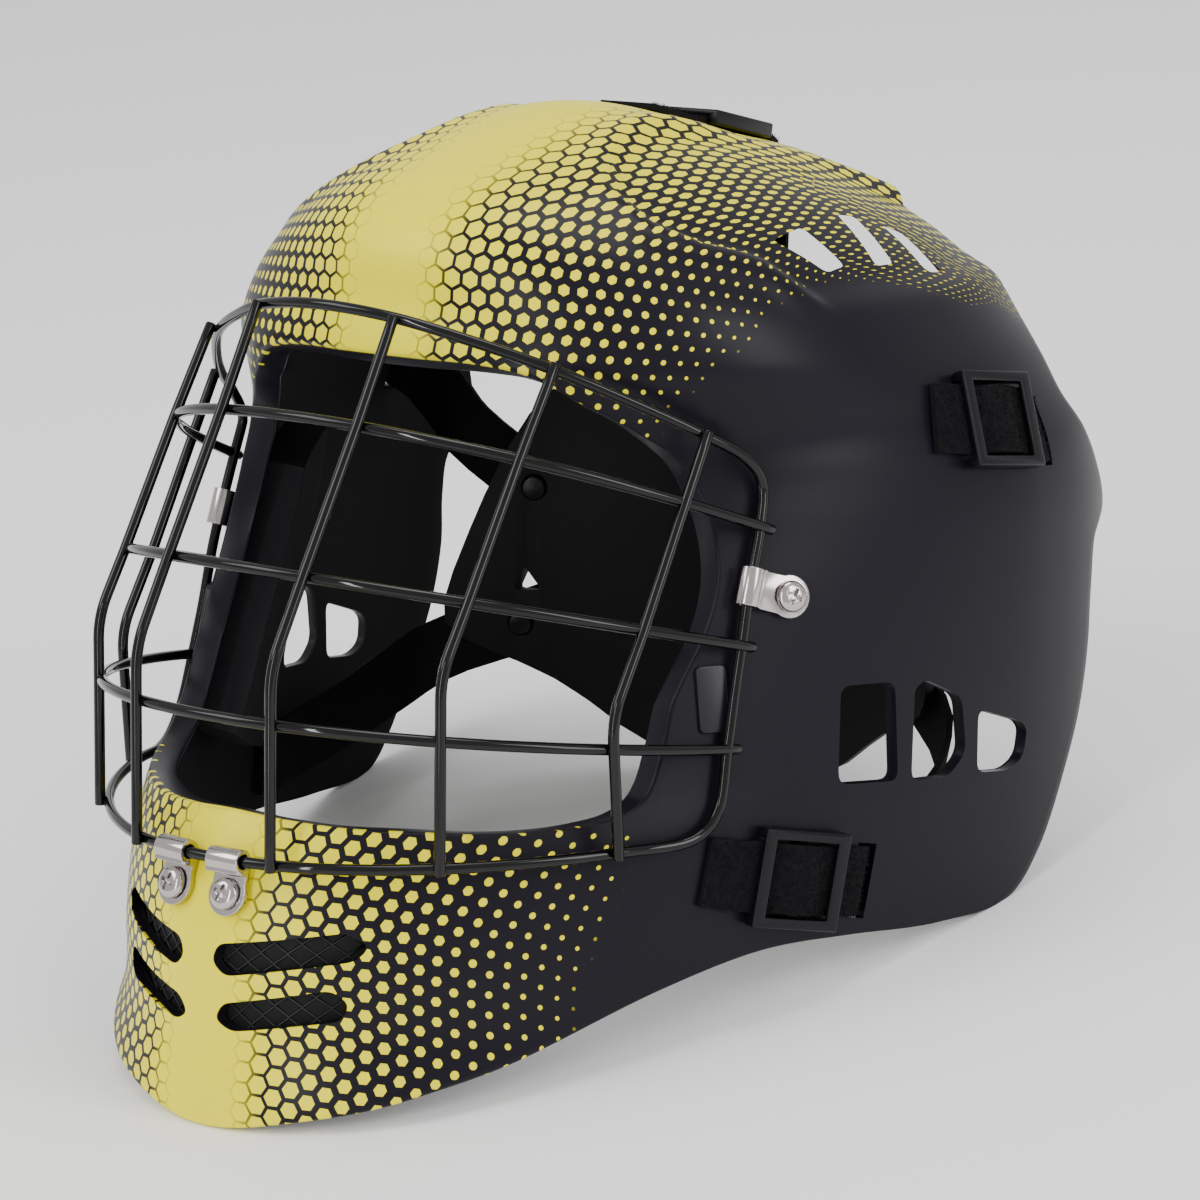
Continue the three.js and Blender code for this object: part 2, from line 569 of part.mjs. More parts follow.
function clipParts({ wire, screw }, side) {
  const flip = (p) => vec(side * p[0], p[1], p[2]);
  const { nearest: wirePoint, along: wireAxis } = borderNear(flip(wire));
  const screwPoint = onShell(flip(screw));
  const toScrew = screwPoint.clone().sub(wirePoint);
  const out = shellNormal(screwPoint);
  const face = out.clone().addScaledVector(wireAxis, -out.dot(wireAxis)).normalize();
  const reach = face.clone().cross(wireAxis);
  if (reach.dot(toScrew) < 0) reach.negate();
  const axis = face.clone().cross(reach);
  const length = toScrew.dot(reach);
  const rise = toScrew.dot(face) + CLIP.lift;
  const middle = wirePoint.clone().addScaledVector(axis, toScrew.dot(axis));
  const frame = new THREE.Matrix4().makeBasis(reach, axis, face).setPosition(middle);
  const loopRadius = WIRE_RADIUS + CLIP.clearance + CLIP.loop;
  const across = (radius, long) => new THREE.CylinderGeometry(radius, radius, long, 20);
  const low = Math.min(rise, -loopRadius * 0.6);
  const high = Math.max(rise + CLIP.thickness, loopRadius * 0.6);
  const webLength = loopRadius * 0.8;
  const web = box(webLength, CLIP.width, high - low, webLength / 2 + CLIP.webShift, 0, (high + low) / 2);
  const parts = [
    across(loopRadius, CLIP.width),
    box(length - 1, CLIP.width, CLIP.thickness, (length + 1) / 2, 0, rise + CLIP.thickness / 2),
    pinAlongZ(CLIP.lug, rise, rise + CLIP.thickness, 24).translate(length, 0, 0),
    web,
  ];
  const wireHole = solid(across(WIRE_RADIUS + CLIP.clearance, CLIP.width * 3));
  const screwHole = solid(pinAlongZ(SCREW.hole, -20, 20).translate(length, 0, 0));
  const body = joined(parts).subtract(wireHole).subtract(screwHole);
  const screwSeat = frame.clone().multiply(new THREE.Matrix4().makeTranslation(length, 0, 0));
  const top = rise + CLIP.thickness + CLIP.clearance;
  const tip = rise - CLIP.lift - WALL - SCREW.past;
  const profile = [[0, tip], [SCREW.shank, tip], [SCREW.shank, top], [SCREW.head, top],
    [SCREW.head, top + SCREW.headHeight * 0.5], [SCREW.head * 0.6, top + SCREW.headHeight],
    [0, top + SCREW.headHeight]];
  return { clip: placed(geometryOf(body), frame), screw: placed(turned(profile), screwSeat), screwSeat };
}

// ---- straps and buckles -------------------------------------------------------------------------
// A strap starts at `end`, lies on the shell, goes through a three-bar buckle at `buckle` and enters
// the shell at `slot`. Inside it follows the points of `inside` and ends on the back plate. `across`
// is the direction of its width on the shell.
const STRAPS = [
  {
    name: "lower", sides: [1, -1], end: [99.5, -29, 72.5], buckle: [110.75, -1.2, 66.6], slot: [117.5, 23, 62],
    across: [0.05, 0.2, 0.98],
    inside: [[114, 40, 64], [111.5, 60, 70], [107.5, 79, 78], [99, 94, 87.5]],
    rivet: [75, 98],
  },
  {
    name: "upper", sides: [1, -1], end: [117.5, 57, 191.5], buckle: [121, 81, 187], slot: [124.6, 104, 182.8],
    across: [-0.3, 0.18, 0.93],
    inside: [[115, 108, 176.5], [106, 109, 168], [96, 107.6, 159.5]],
    rivet: [71, 143],
  },
  {
    name: "crown", sides: [1], end: [0, 66, 273], buckle: [0, 108, 264], slot: [0, 133, 258],
    across: [1, 0, 0],
    inside: [[0, 136.5, 246], [0, 137, 230], [0, 135.3, 212], [0, 133.6, 196]],
    rivet: [0, 173],
  },
];
const STRAP_SLOT = { length: 7, shift: -0.6 };
// Stations of a strap along its buckle, and the forward and outward steps of its turn into the slot.
const OVER_BUCKLE = [-15, -12.5, -10.5, -8.6, -6.8, -5, -3, 0, 3, 5, 6.8, 8.6, 10.5, 12.5, 15];
const TURN_IN = [[-3.4, 1.35], [-1.6, 0.6], [-0.5, -1.1], [0, -3], [0, -WALL - 1], [0.7, -WALL - 3]];
const BUCKLE = { length: 30, bar: 4, rail: 3, thickness: 1.8, lowBar: 0.5, highBar: 3.2 };
const STRAP_TAIL = 9; // past the rivet
const RIVET = { shank: 1.8, hole: 2.2, head: 4.5, headHeight: 1.3 };

// The back plate is part of an upright cylinder, cut to a six-sided outline seen from behind.
const PLATE = { back: 130, radius: 140 };
const PLATE_OUTLINE = [[34, 58], [64, 80], [92, 93], [95, 104], [84, 140], [72, 168], [56, 184]];
const PLATE_HOLE = [[68, 109], [76, 109], [73, 117]];

function onPlate(x, z, offset) {
  const radius = PLATE.radius + offset;
  const turn = Math.asin(x / radius);
  return vec(x, PLATE.back - PLATE.radius + radius * Math.cos(turn), z);
}

function plateNormal(x) {
  const turn = Math.asin(x / PLATE.radius);
  return vec(Math.sin(turn), Math.cos(turn), 0);
}

// Right-handed axes for something flat laid across the shell: x along `along`, y across it, z out.
// Its two sides bear on the surface `reach` out, and it is raised clear of whatever stands between.
function bridgeSeat(near, along, across, reach, halfLength = 0) {
  const origin = onShell(near);
  const beside = (part) => onShell(origin.clone().addScaledVector(across, part * reach));
  const up = beside(1).sub(beside(-1)).normalize();
  const right = along.clone().addScaledVector(up, -along.dot(up)).normalize();
  const out = right.clone().cross(up);
  if (out.dot(shellNormal(origin)) < 0) {
    out.negate();
    up.negate();
  }
  const heights = [-1, -0.5, 0, 0.5, 1].flatMap((part) => [-1, 0, 1].map((end) => {
    const below = origin.clone().addScaledVector(up, part * reach).addScaledVector(right, end * halfLength);
    return onShell(below).sub(origin).dot(out);
  }));
  origin.addScaledVector(out, Math.max(...heights));
  return new THREE.Matrix4().makeBasis(right, up, out).setPosition(origin);
}

function strapParts(strap, side) {
  const flip = (p) => vec(side * p[0], p[1], p[2]);
  const end = flip(strap.end);
  const slot = flip(strap.slot);
  const along = slot.clone().sub(end);
  const wide = flip(strap.across);
  const halfWide = STRAP_WIDTH / 2;
  const halfBuckle = BUCKLE.length / 2;
  const slotSeat = bridgeSeat(slot, along, wide, halfWide);
  const buckleSeat = bridgeSeat(flip(strap.buckle), along, wide, halfWide + BUCKLE.rail, halfBuckle);
  const toBuckle = buckleSeat.clone().invert();
  const slotPoint = onShell(slot);
  const flat = GAP + STRAP_THICKNESS / 2;
  const station = (seatMatrix, forward, height) => {
    const centre = vec(forward, 0, height).applyMatrix4(seatMatrix);
    return { centre, across: vec(0, 1, 0).transformDirection(seatMatrix) };
  };
  const before = [];
  const after = [];
  const laid = 14;
  for (let i = 0; i <= laid; i += 1) {
    const point = end.clone().lerp(slot, i / laid);
    const seatHere = bridgeSeat(point, along, wide, halfWide);
    const here = station(seatHere, 0, flat);
    const forward = here.centre.clone().applyMatrix4(toBuckle).x;
    if (forward < -halfBuckle - 1.5) before.push(here);
    const room = here.centre.distanceTo(slotPoint);
    if (forward > halfBuckle + 1.5 && room > 6) after.push(here);
  }
  const humped = OVER_BUCKLE.map((forward) => {
    const rise = smoothRise(forward, BUCKLE.bar / 2 + 1, halfBuckle - BUCKLE.bar - 0.5);
    return station(buckleSeat, forward, flat + rise * (BUCKLE.lowBar + BUCKLE.thickness));
  });
  const stations = [...before, ...humped, ...after,
    ...TURN_IN.map(([forward, height]) => station(slotSeat, forward, height))];
  const { across } = stations[stations.length - 1];
  const out = plateNormal(side * strap.rivet[0]);
  const offset = PLATE_THICKNESS / 2 + GAP + STRAP_THICKNESS / 2;
  const [rivetX, rivetZ] = strap.rivet;
  const rivetPoint = onPlate(side * rivetX, rivetZ, offset);
  const inside = strap.inside.map(flip);
  const arrival = rivetPoint.clone().sub(inside[inside.length - 1]).normalize();
  const plateWide = out.clone().cross(arrival).normalize();
  if (plateWide.dot(across) < 0) plateWide.negate();
  const tailX = rivetPoint.x + arrival.x * STRAP_TAIL;
  const tail = onPlate(tailX, rivetPoint.z + arrival.z * STRAP_TAIL, offset);
  const landing = onPlate(rivetPoint.x - arrival.x * 6, rivetPoint.z - arrival.z * 6, offset);
  const start = stations[stations.length - 1].centre;
  const route = new THREE.CatmullRomCurve3([start, ...inside, landing, rivetPoint, tail], false, "centripetal");
  const steps = 18;
  for (let i = 1; i <= steps; i += 1) {
    const part = i / steps;
    const blended = across.clone().lerp(plateWide, Math.min(1, part * 1.4)).normalize();
    stations.push({ centre: route.getPoint(part), across: blended });
  }
  const upright = vec(0, 0, 1);
  const rivetSeat = new THREE.Matrix4().makeBasis(upright.clone().cross(out), upright, out)
    .setPosition(onPlate(side * rivetX, rivetZ, 0));
  const hole = solid(placed(pinAlongZ(RIVET.hole, -20, 20), rivetSeat));
  const body = solid(band(stations, STRAP_WIDTH, STRAP_THICKNESS)).subtract(hole);
  return { body, hole, slotSeat, buckle: buckleGeometry(buckleSeat), rivet: rivetGeometry(rivetSeat) };
}

function buckleGeometry(frame) {
  const { length, bar: barWidth, rail, thickness, lowBar, highBar } = BUCKLE;
  const inner = STRAP_WIDTH + 2.4;
  const height = highBar + thickness - lowBar;
  const whole = inner + 2 * rail;
  const end = (length - barWidth) / 2;
  const blocks = joined([
    box(length, rail, height, 0, (inner + rail) / 2, lowBar + height / 2),
    box(length, rail, height, 0, -(inner + rail) / 2, lowBar + height / 2),
    box(barWidth, whole, thickness, end, 0, highBar + thickness / 2),
    box(barWidth, whole, thickness, -end, 0, highBar + thickness / 2),
    box(barWidth, whole, thickness, 0, 0, lowBar + thickness / 2),
  ]);
  return placed(geometryOf(blocks), frame);
}

function rivetGeometry(frame) {
  const inner = -PLATE_THICKNESS / 2 - GAP;
  const outer = PLATE_THICKNESS / 2 + STRAP_THICKNESS + 2.4 * GAP;
  const { shank, head, headHeight } = RIVET;
  const profile = [[0, inner - headHeight], [head * 0.8, inner - headHeight], [head, inner],
    [shank, inner], [shank, outer], [head, outer], [head * 0.8, outer + headHeight], [0, outer + headHeight]];
  return placed(turned(profile), frame);
}

function plateSolid(holes) {
  const inner = PLATE.radius - PLATE_THICKNESS / 2;
  const outer = PLATE.radius + PLATE_THICKNESS / 2;
  const reach = 0.86; // half angle of the blank, in radians, wider than the outline
  const blank = new THREE.Shape();
  blank.absarc(0, 0, outer, Math.PI / 2 - reach, Math.PI / 2 + reach, false);
  blank.absarc(0, 0, inner, Math.PI / 2 + reach, Math.PI / 2 - reach, true);
  blank.closePath();
  const wall = new THREE.ExtrudeGeometry(blank, { depth: 160, bevelEnabled: false, curveSegments: 30 })
    .translate(0, PLATE.back - PLATE.radius, 40);
  const outline = prism([...PLATE_OUTLINE, ...flipX(PLATE_OUTLINE)], 12, AXIS.x, AXIS.z, -220, -20);
  const pierced = prism(PLATE_HOLE, 1.5, AXIS.x, AXIS.z, -220, -20);
  const piercedFar = prism(flipX(PLATE_HOLE), 1.5, AXIS.x, AXIS.z, -220, -20);
  let body = solid(wall).intersect(outline).subtract(pierced).subtract(piercedFar);
  holes.forEach((hole) => {
    body = body.subtract(hole);
  });
  return body;
}

// ---- lining -------------------------------------------------------------------------------------
// Foam pads behind the brow and beside the cheeks, each over a stretch of ribs, between two distances
// from the edge of the opening.
const PADS = [
  { name: "brow_pad", ribs: [-5.4, 5.4], from: 7, to: 32, thickness: PAD_THICKNESS },
  { name: "cheek_pad_left", ribs: [8, 17], from: 7, to: 44, thickness: PAD_THICKNESS + 2 },
  { name: "cheek_pad_right", ribs: [-17, -8], from: 7, to: 44, thickness: PAD_THICKNESS + 2 },
];
const PAD_GAP = 2.2;
const SCREEN_GAP = 0.8;

function padGeometry({ ribs, from, to, thickness }) {
  const across = 12;
  const up = 5;
  const grid = Array.from({ length: across + 1 }, (_, i) => {
    const rib = ribs[0] + ((ribs[1] - ribs[0]) * i) / across;
    return Array.from({ length: up + 1 }, (__, j) => ribPointAt(rib, from + ((to - from) * j) / up));
  });
  return lining(grid, -WALL - PAD_GAP, -WALL - PAD_GAP - thickness);
}

// Fine mesh screen behind the mouth slots: one panel bent to the inside of the chin.
const SCREEN = { halfWidth: 51, low: 28, high: 65.5, thickness: 1 };

function onChin(x, z) {
  const part = 1 - (Math.abs(x) / halfWidthAt(z)) ** roundnessAt(z);
  return vec(x, middleAt(z) - frontAt(z) * part ** (1 / roundnessAt(z)), z);
}

function screenGeometry() {
  const columns = 20;
  const rows = 5;
  const grid = Array.from({ length: columns + 1 }, (_, i) => {
    const x = SCREEN.halfWidth * ((2 * i) / columns - 1);
    return Array.from({ length: rows + 1 }, (__, j) => {
      return onChin(x, SCREEN.low + ((SCREEN.high - SCREEN.low) * j) / rows);
    });
  });
  return lining(grid, -WALL - SCREEN_GAP, -WALL - SCREEN_GAP - SCREEN.thickness);
}

// ---- materials and assembly ---------------------------------------------------------------------
const material = (color, roughness, metalness) => new THREE.MeshStandardMaterial({ color, roughness, metalness });
const COLOURS = {
  shell: () => material("#35323c", 0.42, 0),
  wire: () => material("#101012", 0.2, 0.4),
  nickel: () => material("#c9c7c2", 0.25, 1),
  screen: () => material("#17171a", 0.6, 0.2),
  foam: () => material("#131315", 0.95, 0),
  webbing: () => material("#1b1a1e", 0.9, 0),
  buckle: () => material("#1f1e22", 0.45, 0),
};

const worn = new THREE.Group();

function addPiece(name, geometry, paint) {
  const mesh = new THREE.Mesh(geometry, paint());
  mesh.name = name;
  worn.add(mesh);
}

const sideName = (side) => (side > 0 ? "left" : "right");
const clips = CLIPS.flatMap((row) => [1, -1].map((side) => {
  return { name: `${row.name}_${sideName(side)}`, ...clipParts(row, side) };
}));
const straps = STRAPS.flatMap((row) => row.sides.map((side) => {
  const name = row.sides.length > 1 ? `${row.name}_${sideName(side)}` : row.name;
  return { name, ...strapParts(row, side) };
}));

addPiece("shell", geometryOf(shellSolid(straps, clips)), COLOURS.shell);
addPiece("cage", geometryOf(cageSolid()), COLOURS.wire);
clips.forEach(({ name, clip, screw }) => {
  addPiece(`clip_${name}`, clip, COLOURS.nickel);
  addPiece(`screw_${name}`, screw, COLOURS.nickel);
});
addPiece("mouth_screen", screenGeometry(), COLOURS.screen);
PADS.forEach((row) => addPiece(row.name, padGeometry(row), COLOURS.foam));
straps.forEach(({ name, body, buckle, rivet }) => {
  addPiece(`strap_${name}`, geometryOf(body), COLOURS.webbing);
  addPiece(`buckle_${name}`, buckle, COLOURS.buckle);
  addPiece(`rivet_${name}`, rivet, COLOURS.buckle);
});
addPiece("back_plate", geometryOf(plateSolid(straps.map(({ hole }) => hole))), COLOURS.shell);

worn.rotation.x = -REST_TILT;
worn.position.copy(REST_SHIFT);
const mask = new THREE.Group();
mask.add(worn);

export default mask;
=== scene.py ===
"""Looks of the floorball goalie mask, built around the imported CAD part.

Shapes are worked out in millimetres in the mask's worn frame (face along -Y, up +Z, mirror plane
X = 0) and then laid down in the part's rest frame in metres.
"""

import math

import bmesh
import bpy
import numpy as np
from mathutils import Matrix, Vector, kdtree


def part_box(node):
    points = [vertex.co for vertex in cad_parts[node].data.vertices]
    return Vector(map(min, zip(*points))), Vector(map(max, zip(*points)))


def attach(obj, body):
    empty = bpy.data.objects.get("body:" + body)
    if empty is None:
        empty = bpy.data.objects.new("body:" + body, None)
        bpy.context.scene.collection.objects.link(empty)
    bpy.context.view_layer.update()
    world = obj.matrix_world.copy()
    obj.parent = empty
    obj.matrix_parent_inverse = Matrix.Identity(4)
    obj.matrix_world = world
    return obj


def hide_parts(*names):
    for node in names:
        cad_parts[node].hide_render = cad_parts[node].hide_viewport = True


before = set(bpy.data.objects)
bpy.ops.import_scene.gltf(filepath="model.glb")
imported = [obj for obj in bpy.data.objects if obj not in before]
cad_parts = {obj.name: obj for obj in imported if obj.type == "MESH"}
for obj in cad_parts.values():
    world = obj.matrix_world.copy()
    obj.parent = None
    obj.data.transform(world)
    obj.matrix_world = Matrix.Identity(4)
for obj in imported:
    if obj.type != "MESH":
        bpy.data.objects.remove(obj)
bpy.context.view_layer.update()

# ---- driving dimensions, mm --------------------------------------------------
WALL = 3.6
LIP_DEPTH = 8.0  # turned-in edge of the face opening
LIP_THICKNESS = 3.0
LIP_LEAN = 3.0  # how far the turned-in edge leans into the opening
LIP_ROUND = 1.0
RIM_BULGE = 1.3  # of the shell's outer edge, past the ends of its two faces
CROWN_SINK = 3.4
CROWN_SLOPE = 4.5  # across the step down to the sunk zone
CROWN_RIDGE = 1.4
RIDGE_OUT = 4.5  # from the zone's outline to the top of the ridge round it
RIDGE_WIDTH = 4.0
WIRE_RADIUS = 1.6
WELD_BITE = 1.3  # half the distance between the centre lines of two crossing wires
BAR_INSET = 2 * WELD_BITE * 0.55  # puts the level bars inside the uprights, outside the border
SCREEN_GAP = 0.8  # from the wall's inside to the strands' centre lines
STRAND_RADIUS = 0.5
SHANK_RADIUS = 1.8
HEAD_HEIGHT = 2.4
HEAD_CROWN = 1.9  # the rounded part of the head's height
REST_TILT = math.radians(10.29)  # brings the rear corners down to the chin's level
REST_SHIFT = np.array([0.0, -28.4, -27.62])  # puts the middle of the base at the origin
CENTRE = np.array([0.0, 20.0, 130.0])  # inside the shell, where the rays to its surface start

# Level sections of the shell: height, middle, half width, front and back reach, front and rear
# roundness.
SECTIONS = np.array([
    (-14, 98, 114, 211, 100, 1.9, 2.4),
    (0, 98, 122, 226.5, 104, 1.98, 2.4),
    (12, 98, 125, 228.5, 106, 2, 2.4),
    (30, 98, 126, 226.5, 107, 1.86, 2.4),
    (52, 98, 128.5, 227.5, 107, 1.78, 2.4),
    (68, 98, 129.5, 225.5, 107, 1.75, 2.4),
    (82, 98, 130, 219.5, 107, 1.75, 2.4),
    (96, 98, 130.5, 211, 107, 1.72, 2.4),
    (120, 98, 131, 196, 107, 1.7, 2.4),
    (145, 98, 131, 180, 107, 1.7, 2.4),
    (166, 97, 129.5, 165, 107, 1.72, 2.4),
    (180, 94, 126, 153, 106, 1.78, 2.4),
    (190, 90, 121, 145, 105, 1.88, 2.4),
    (200, 84, 117, 136, 106, 2.05, 2.35),
    (211, 76, 112, 127, 111, 2.22, 2.2),
    (226, 68, 104.5, 114.5, 115, 2.22, 2.05),
    (240, 62, 91, 107.5, 108, 2.08, 1.9),
    (250, 57, 76, 96.5, 95, 2.06, 1.8),
    (258, 52, 61, 80, 77, 2.1, 1.8),
    (265, 47, 47, 57, 50, 2.1, 1.85),
    (272, 41, 30, 31, 27, 2, 2),
    (275.5, 39, 15, 15, 15, 2, 2),
    (277, 38, 0, 0, 0, 2, 2),
])
SHELL_TOP = SECTIONS[-1, 0]

# Ribs of the right half: the edge of the face opening and the outer edge of the shell.
RIBS = [
    ((0, -50, 212), (0, 142, 256)),
    ((16, -48.5, 211), (24, 141.5, 254.5)),
    ((31, -44.5, 209), (48, 140, 249.5)),
    ((43, -39, 205), (70, 137, 241)),
    ((56, -31, 197.5), (88, 134, 229)),
    ((69, -21.5, 190.5), (99.5, 132.5, 214)),
    ((78, -14, 184), (109, 129, 203)),
    ((84, -11, 175), (116, 129, 191)),
    ((88, -10, 165), (121, 134.8, 179)),
    ((90.5, -11, 154), (123.3, 139.5, 167)),
    ((91.5, -14, 145), (123.8, 142, 155.3)),
    ((92, -19, 136), (127.3, 131.5, 146)),
    ((91, -25, 127), (128.2, 128.8, 132)),
    ((90, -30, 119), (128.3, 128, 115)),
    ((90, -33, 111), (129, 123, 95)),
    ((90, -36, 104), (129.3, 112, 74)),
    ((90, -39, 98), (128.8, 101, 56)),
    ((89, -42.5, 93.5), (127.5, 88, 44.3)),
    ((86, -49, 90), (124, 55, 43)),
    ((80, -58, 88.5), (117, 18, 46)),
    ((73, -67, 88), (107.3, -12, 47)),
    ((62, -81, 88), (95, -41.5, 40.5)),
    ((48, -95, 89), (78, -75, 27.5)),
    ((33, -105, 90), (57, -106, 17)),
    ((17, -112, 91.5), (30, -124.5, 10)),
    ((0, -114, 93), (0, -129.5, 6.5)),
]

# Border wire of the cage from the middle of the brow down to the middle of the chin.
CAGE_BORDER = np.array([
    (0, -75.5, 228.8),
    (24.5, -71.5, 226.5),
    (44, -62, 220.8),
    (62.8, -49.4, 213.2),
    (79, -33, 203.2),
    (91, -17.6, 193.9),
    (97.5, -5.5, 186.2),
    (99.2, 0.3, 178.5),
    (98.7, -1, 166),
    (99.6, -7.3, 149),
    (100.2, -12.8, 130),
    (100.6, -19.4, 106),
    (100.5, -25, 88),
    (98.8, -33, 82.3),
    (91, -57, 82),
    (79, -79.5, 82),
    (62.8, -99.8, 82),
    (44, -115.4, 82),
    (24.5, -125, 82),
    (0, -128.5, 82),
])
# Level bars: height, slope, where the height holds, then the half axes, middle and end of the
# ellipse in plan.
CAGE_BARS = [
    (198.7, 0.379, -87, 102.4, 112, 21.8, 1.5),
    (160.2, 0.265, -110, 103.4, 125, 11.4, -9),
    (121.4, 0.147, -124, 103.6, 135, 6.5, -16),
]
# Uprights of the right half: distance from the mirror plane and the path in it, (back, up).
CAGE_UPRIGHTS = [
    (24.5, [(-71, 227.4), (-87, 198.7), (-110, 160.2), (-123.6, 136.8), (-124, 121.4),
            (-125, 80.6)]),
    (62.8, [(-48.9, 215.1), (-65.2, 190), (-87.3, 153.7), (-98.7, 136), (-99, 117.6),
            (-99.8, 80.6)]),
    (91, [(-17, 194.8), (-27.8, 176), (-46.7, 142.8), (-60.2, 121.4), (-59.6, 111.4),
          (-57.5, 80.6)]),
]
UPRIGHT_BEND = 7.0
CAGE_PLAN = {"half_width": 102, "reach": 125, "middle": 10}
# Height of the border wire over the shell: more within "near" of the side clips' level, and back
# to the height elsewhere at "far".
WIRE_HEIGHT = {"at_clip": 3.9, "elsewhere": 3.2, "level": 149, "near": 9, "far": 32}

# Outlines of the holes: side vents as (back, up), crown vents as (out, back) and mouth slots as
# (out, up).
SIDE_VENTS = [
    [(18, 119), (36, 118), (36, 89), (15, 91)],
    [(43, 115), (47, 117), (61, 110), (63, 93), (56, 87), (41, 88)],
    [(68, 105), (88, 98), (91, 95), (90, 87), (83, 84), (68, 86)],
]
CROWN_VENTS = [
    [(79, 31), (78, 47), (92, 49), (92, 40)],
    [(75, 69), (76, 77), (94, 71), (94, 62)],
    [(79, 86), (82, 93), (97, 93), (97, 85)],
]
MOUTH_SLOTS = [
    [(5, 53), (7, 58), (40, 63), (45, 59), (42, 55), (9, 49)],
    [(5, 36), (8, 41), (37, 47), (41, 43), (39, 38), (10, 33)],
]
# Straps on the shell: front end, slot and the direction of the strap's width.
SLOTS = [
    ((99.5, -29, 72.5), (117.5, 23, 62), (0.05, 0.2, 0.98)),
    ((117.5, 57, 191.5), (124.6, 104, 182.8), (-0.3, 0.18, 0.93)),
    ((0, 66, 273), (0, 133, 258), (1, 0, 0)),
]
STRAP_SLOT = {"size": (7, 22, 30), "shift": -0.6}  # along, across and through; shift is along
TABLET = {"centre": (95.5, -19.5, 119.5), "half_width": 4.5, "half_height": 9.5, "round": 2.0,
          "rise": 1.3, "sunk": 2.0}


# ---- shell surface -----------------------------------------------------------
def unit(v):
    return v / np.linalg.norm(v, axis=-1, keepdims=True)


def smooth_column(column, power):
    """One measure of the sections as a smooth function of height."""
    z = SECTIONS[:, 0]
    value = SECTIONS[:, column] ** power
    rate = np.diff(value) / np.diff(z)
    slope = np.empty_like(z)
    slope[0], slope[-1] = rate[0], rate[-1]
    below, above = np.diff(z)[:-1], np.diff(z)[1:]
    slope[1:-1] = (rate[:-1] * above + rate[1:] * below) / (below + above)

    def at(height):
        level = np.clip(height, z[0], z[-1])
        i = np.clip(np.searchsorted(z, level, side="left") - 1, 0, len(z) - 2)
        span = z[i + 1] - z[i]
        t = (level - z[i]) / span
        blended = (value[i] * (1 + 2 * t) * (1 - t) ** 2 + slope[i] * span * t * (1 - t) ** 2
                   + value[i + 1] * t * t * (3 - 2 * t) + slope[i + 1] * span * t * t * (t - 1))
        return np.maximum(blended, 1e-6) ** (1 / power)
    return at


middle_at = smooth_column(1, 1)
half_width_at = smooth_column(2, 2)
front_at = smooth_column(3, 2)
back_at = smooth_column(4, 2)
roundness_at = smooth_column(5, 1)
rear_roundness_at = smooth_column(6, 1)


def shell_level(p):
    """Below 1 inside the shell's plain outer surface, 1 on it and above 1 outside."""
    z = p[..., 2]
    along = p[..., 1] - middle_at(z)
    behind = along > 0
    reach = np.where(behind, back_at(z), front_at(z))
    n = np.where(behind, rear_roundness_at(z), roundness_at(z))
    across, along = np.abs(p[..., 0]) / half_width_at(z), np.abs(along) / reach
    return np.where(z >= SHELL_TOP, 2 + z - SHELL_TOP, (across ** n + along ** n) ** (1 / n))


def way_out(start, ray, low, high, halvings):
    """Where rays come out through the shell's plain outer surface, between two distances."""
    low, high = np.full(ray.shape[:-1], low), np.full(ray.shape[:-1], high)
    for _ in range(halvings):
        mid = (low + high) / 2
        inside = shell_level(start + ray * mid[..., None]) < 1
        low, high = np.where(inside, mid, low), np.where(inside, high, mid)
    return start + ray * low[..., None]


def on_shell(near):
    """The points of the shell's plain outer surface on the rays from its centre."""
    return way_out(CENTRE, unit(np.asarray(near, float) - CENTRE), 20.0, 320.0, 34)


def shell_normal(p):
    step = 0.4
    slope = [shell_level(p + step * axis) - shell_level(p - step * axis) for axis in np.eye(3)]
    return unit(np.stack(slope, -1))


def smooth_step(x):
    t = np.clip(x, 0, 1)
    return t * t * (3 - 2 * t)


def smooth_rise(distance, flat, foot):
    """1 within flat of zero, down to 0 at foot."""
    return smooth_step((foot - np.abs(distance)) / (foot - flat))


def polygon_depth(points, outline):
    """How far inside an outline in the plane each point lies; negative outside."""
    best = np.full(points.shape[:-1], 1e9)
    inside = np.zeros(points.shape[:-1], bool)
    for (ax, ay), (bx, by) in zip(outline, outline[1:] + outline[:1]):
        dx, dy = bx - ax, by - ay
        px, py = points[..., 0] - ax, points[..., 1] - ay
        t = np.clip((px * dx + py * dy) / (dx * dx + dy * dy), 0, 1)
        best = np.minimum(best, np.hypot(px - t * dx, py - t * dy))
        if ay != by:
            crosses = (ay > points[..., 1]) != (by > points[..., 1])
            inside ^= crosses & (px < dx * py / dy)
    return np.where(inside, best, -best)


# The sunk zone on each side of the crown, seen from above.
CROWN_HOLLOW = [(36, 80), (31, 42), (33, 25), (38, 10), (47, -1), (61, -2), (73, 5), (84, 18),
                (104, 30), (125, 60), (125, 160), (60, 160)]


def relief(p):
    """Height of the moulded relief over the plain surface: the sunk zone and the ridge round it,
    which fade out toward the middle at the back."""
    plan = np.stack([np.abs(p[..., 0]), p[..., 1]], -1)
    depth = polygon_depth(plan, CROWN_HOLLOW)
    on_top = smooth_step((p[..., 2] - 222) / 12)
    fades = 1 - smooth_step((p[..., 1] - 45) / 50) * smooth_step((60 - plan[..., 0]) / 25)
    sunk = -CROWN_SINK * smooth_step(depth / CROWN_SLOPE + 0.4)
    ridge = CROWN_RIDGE * np.exp(-((depth + RIDGE_OUT) / RIDGE_WIDTH) ** 2)
    return (sunk + ridge) * on_top * fades


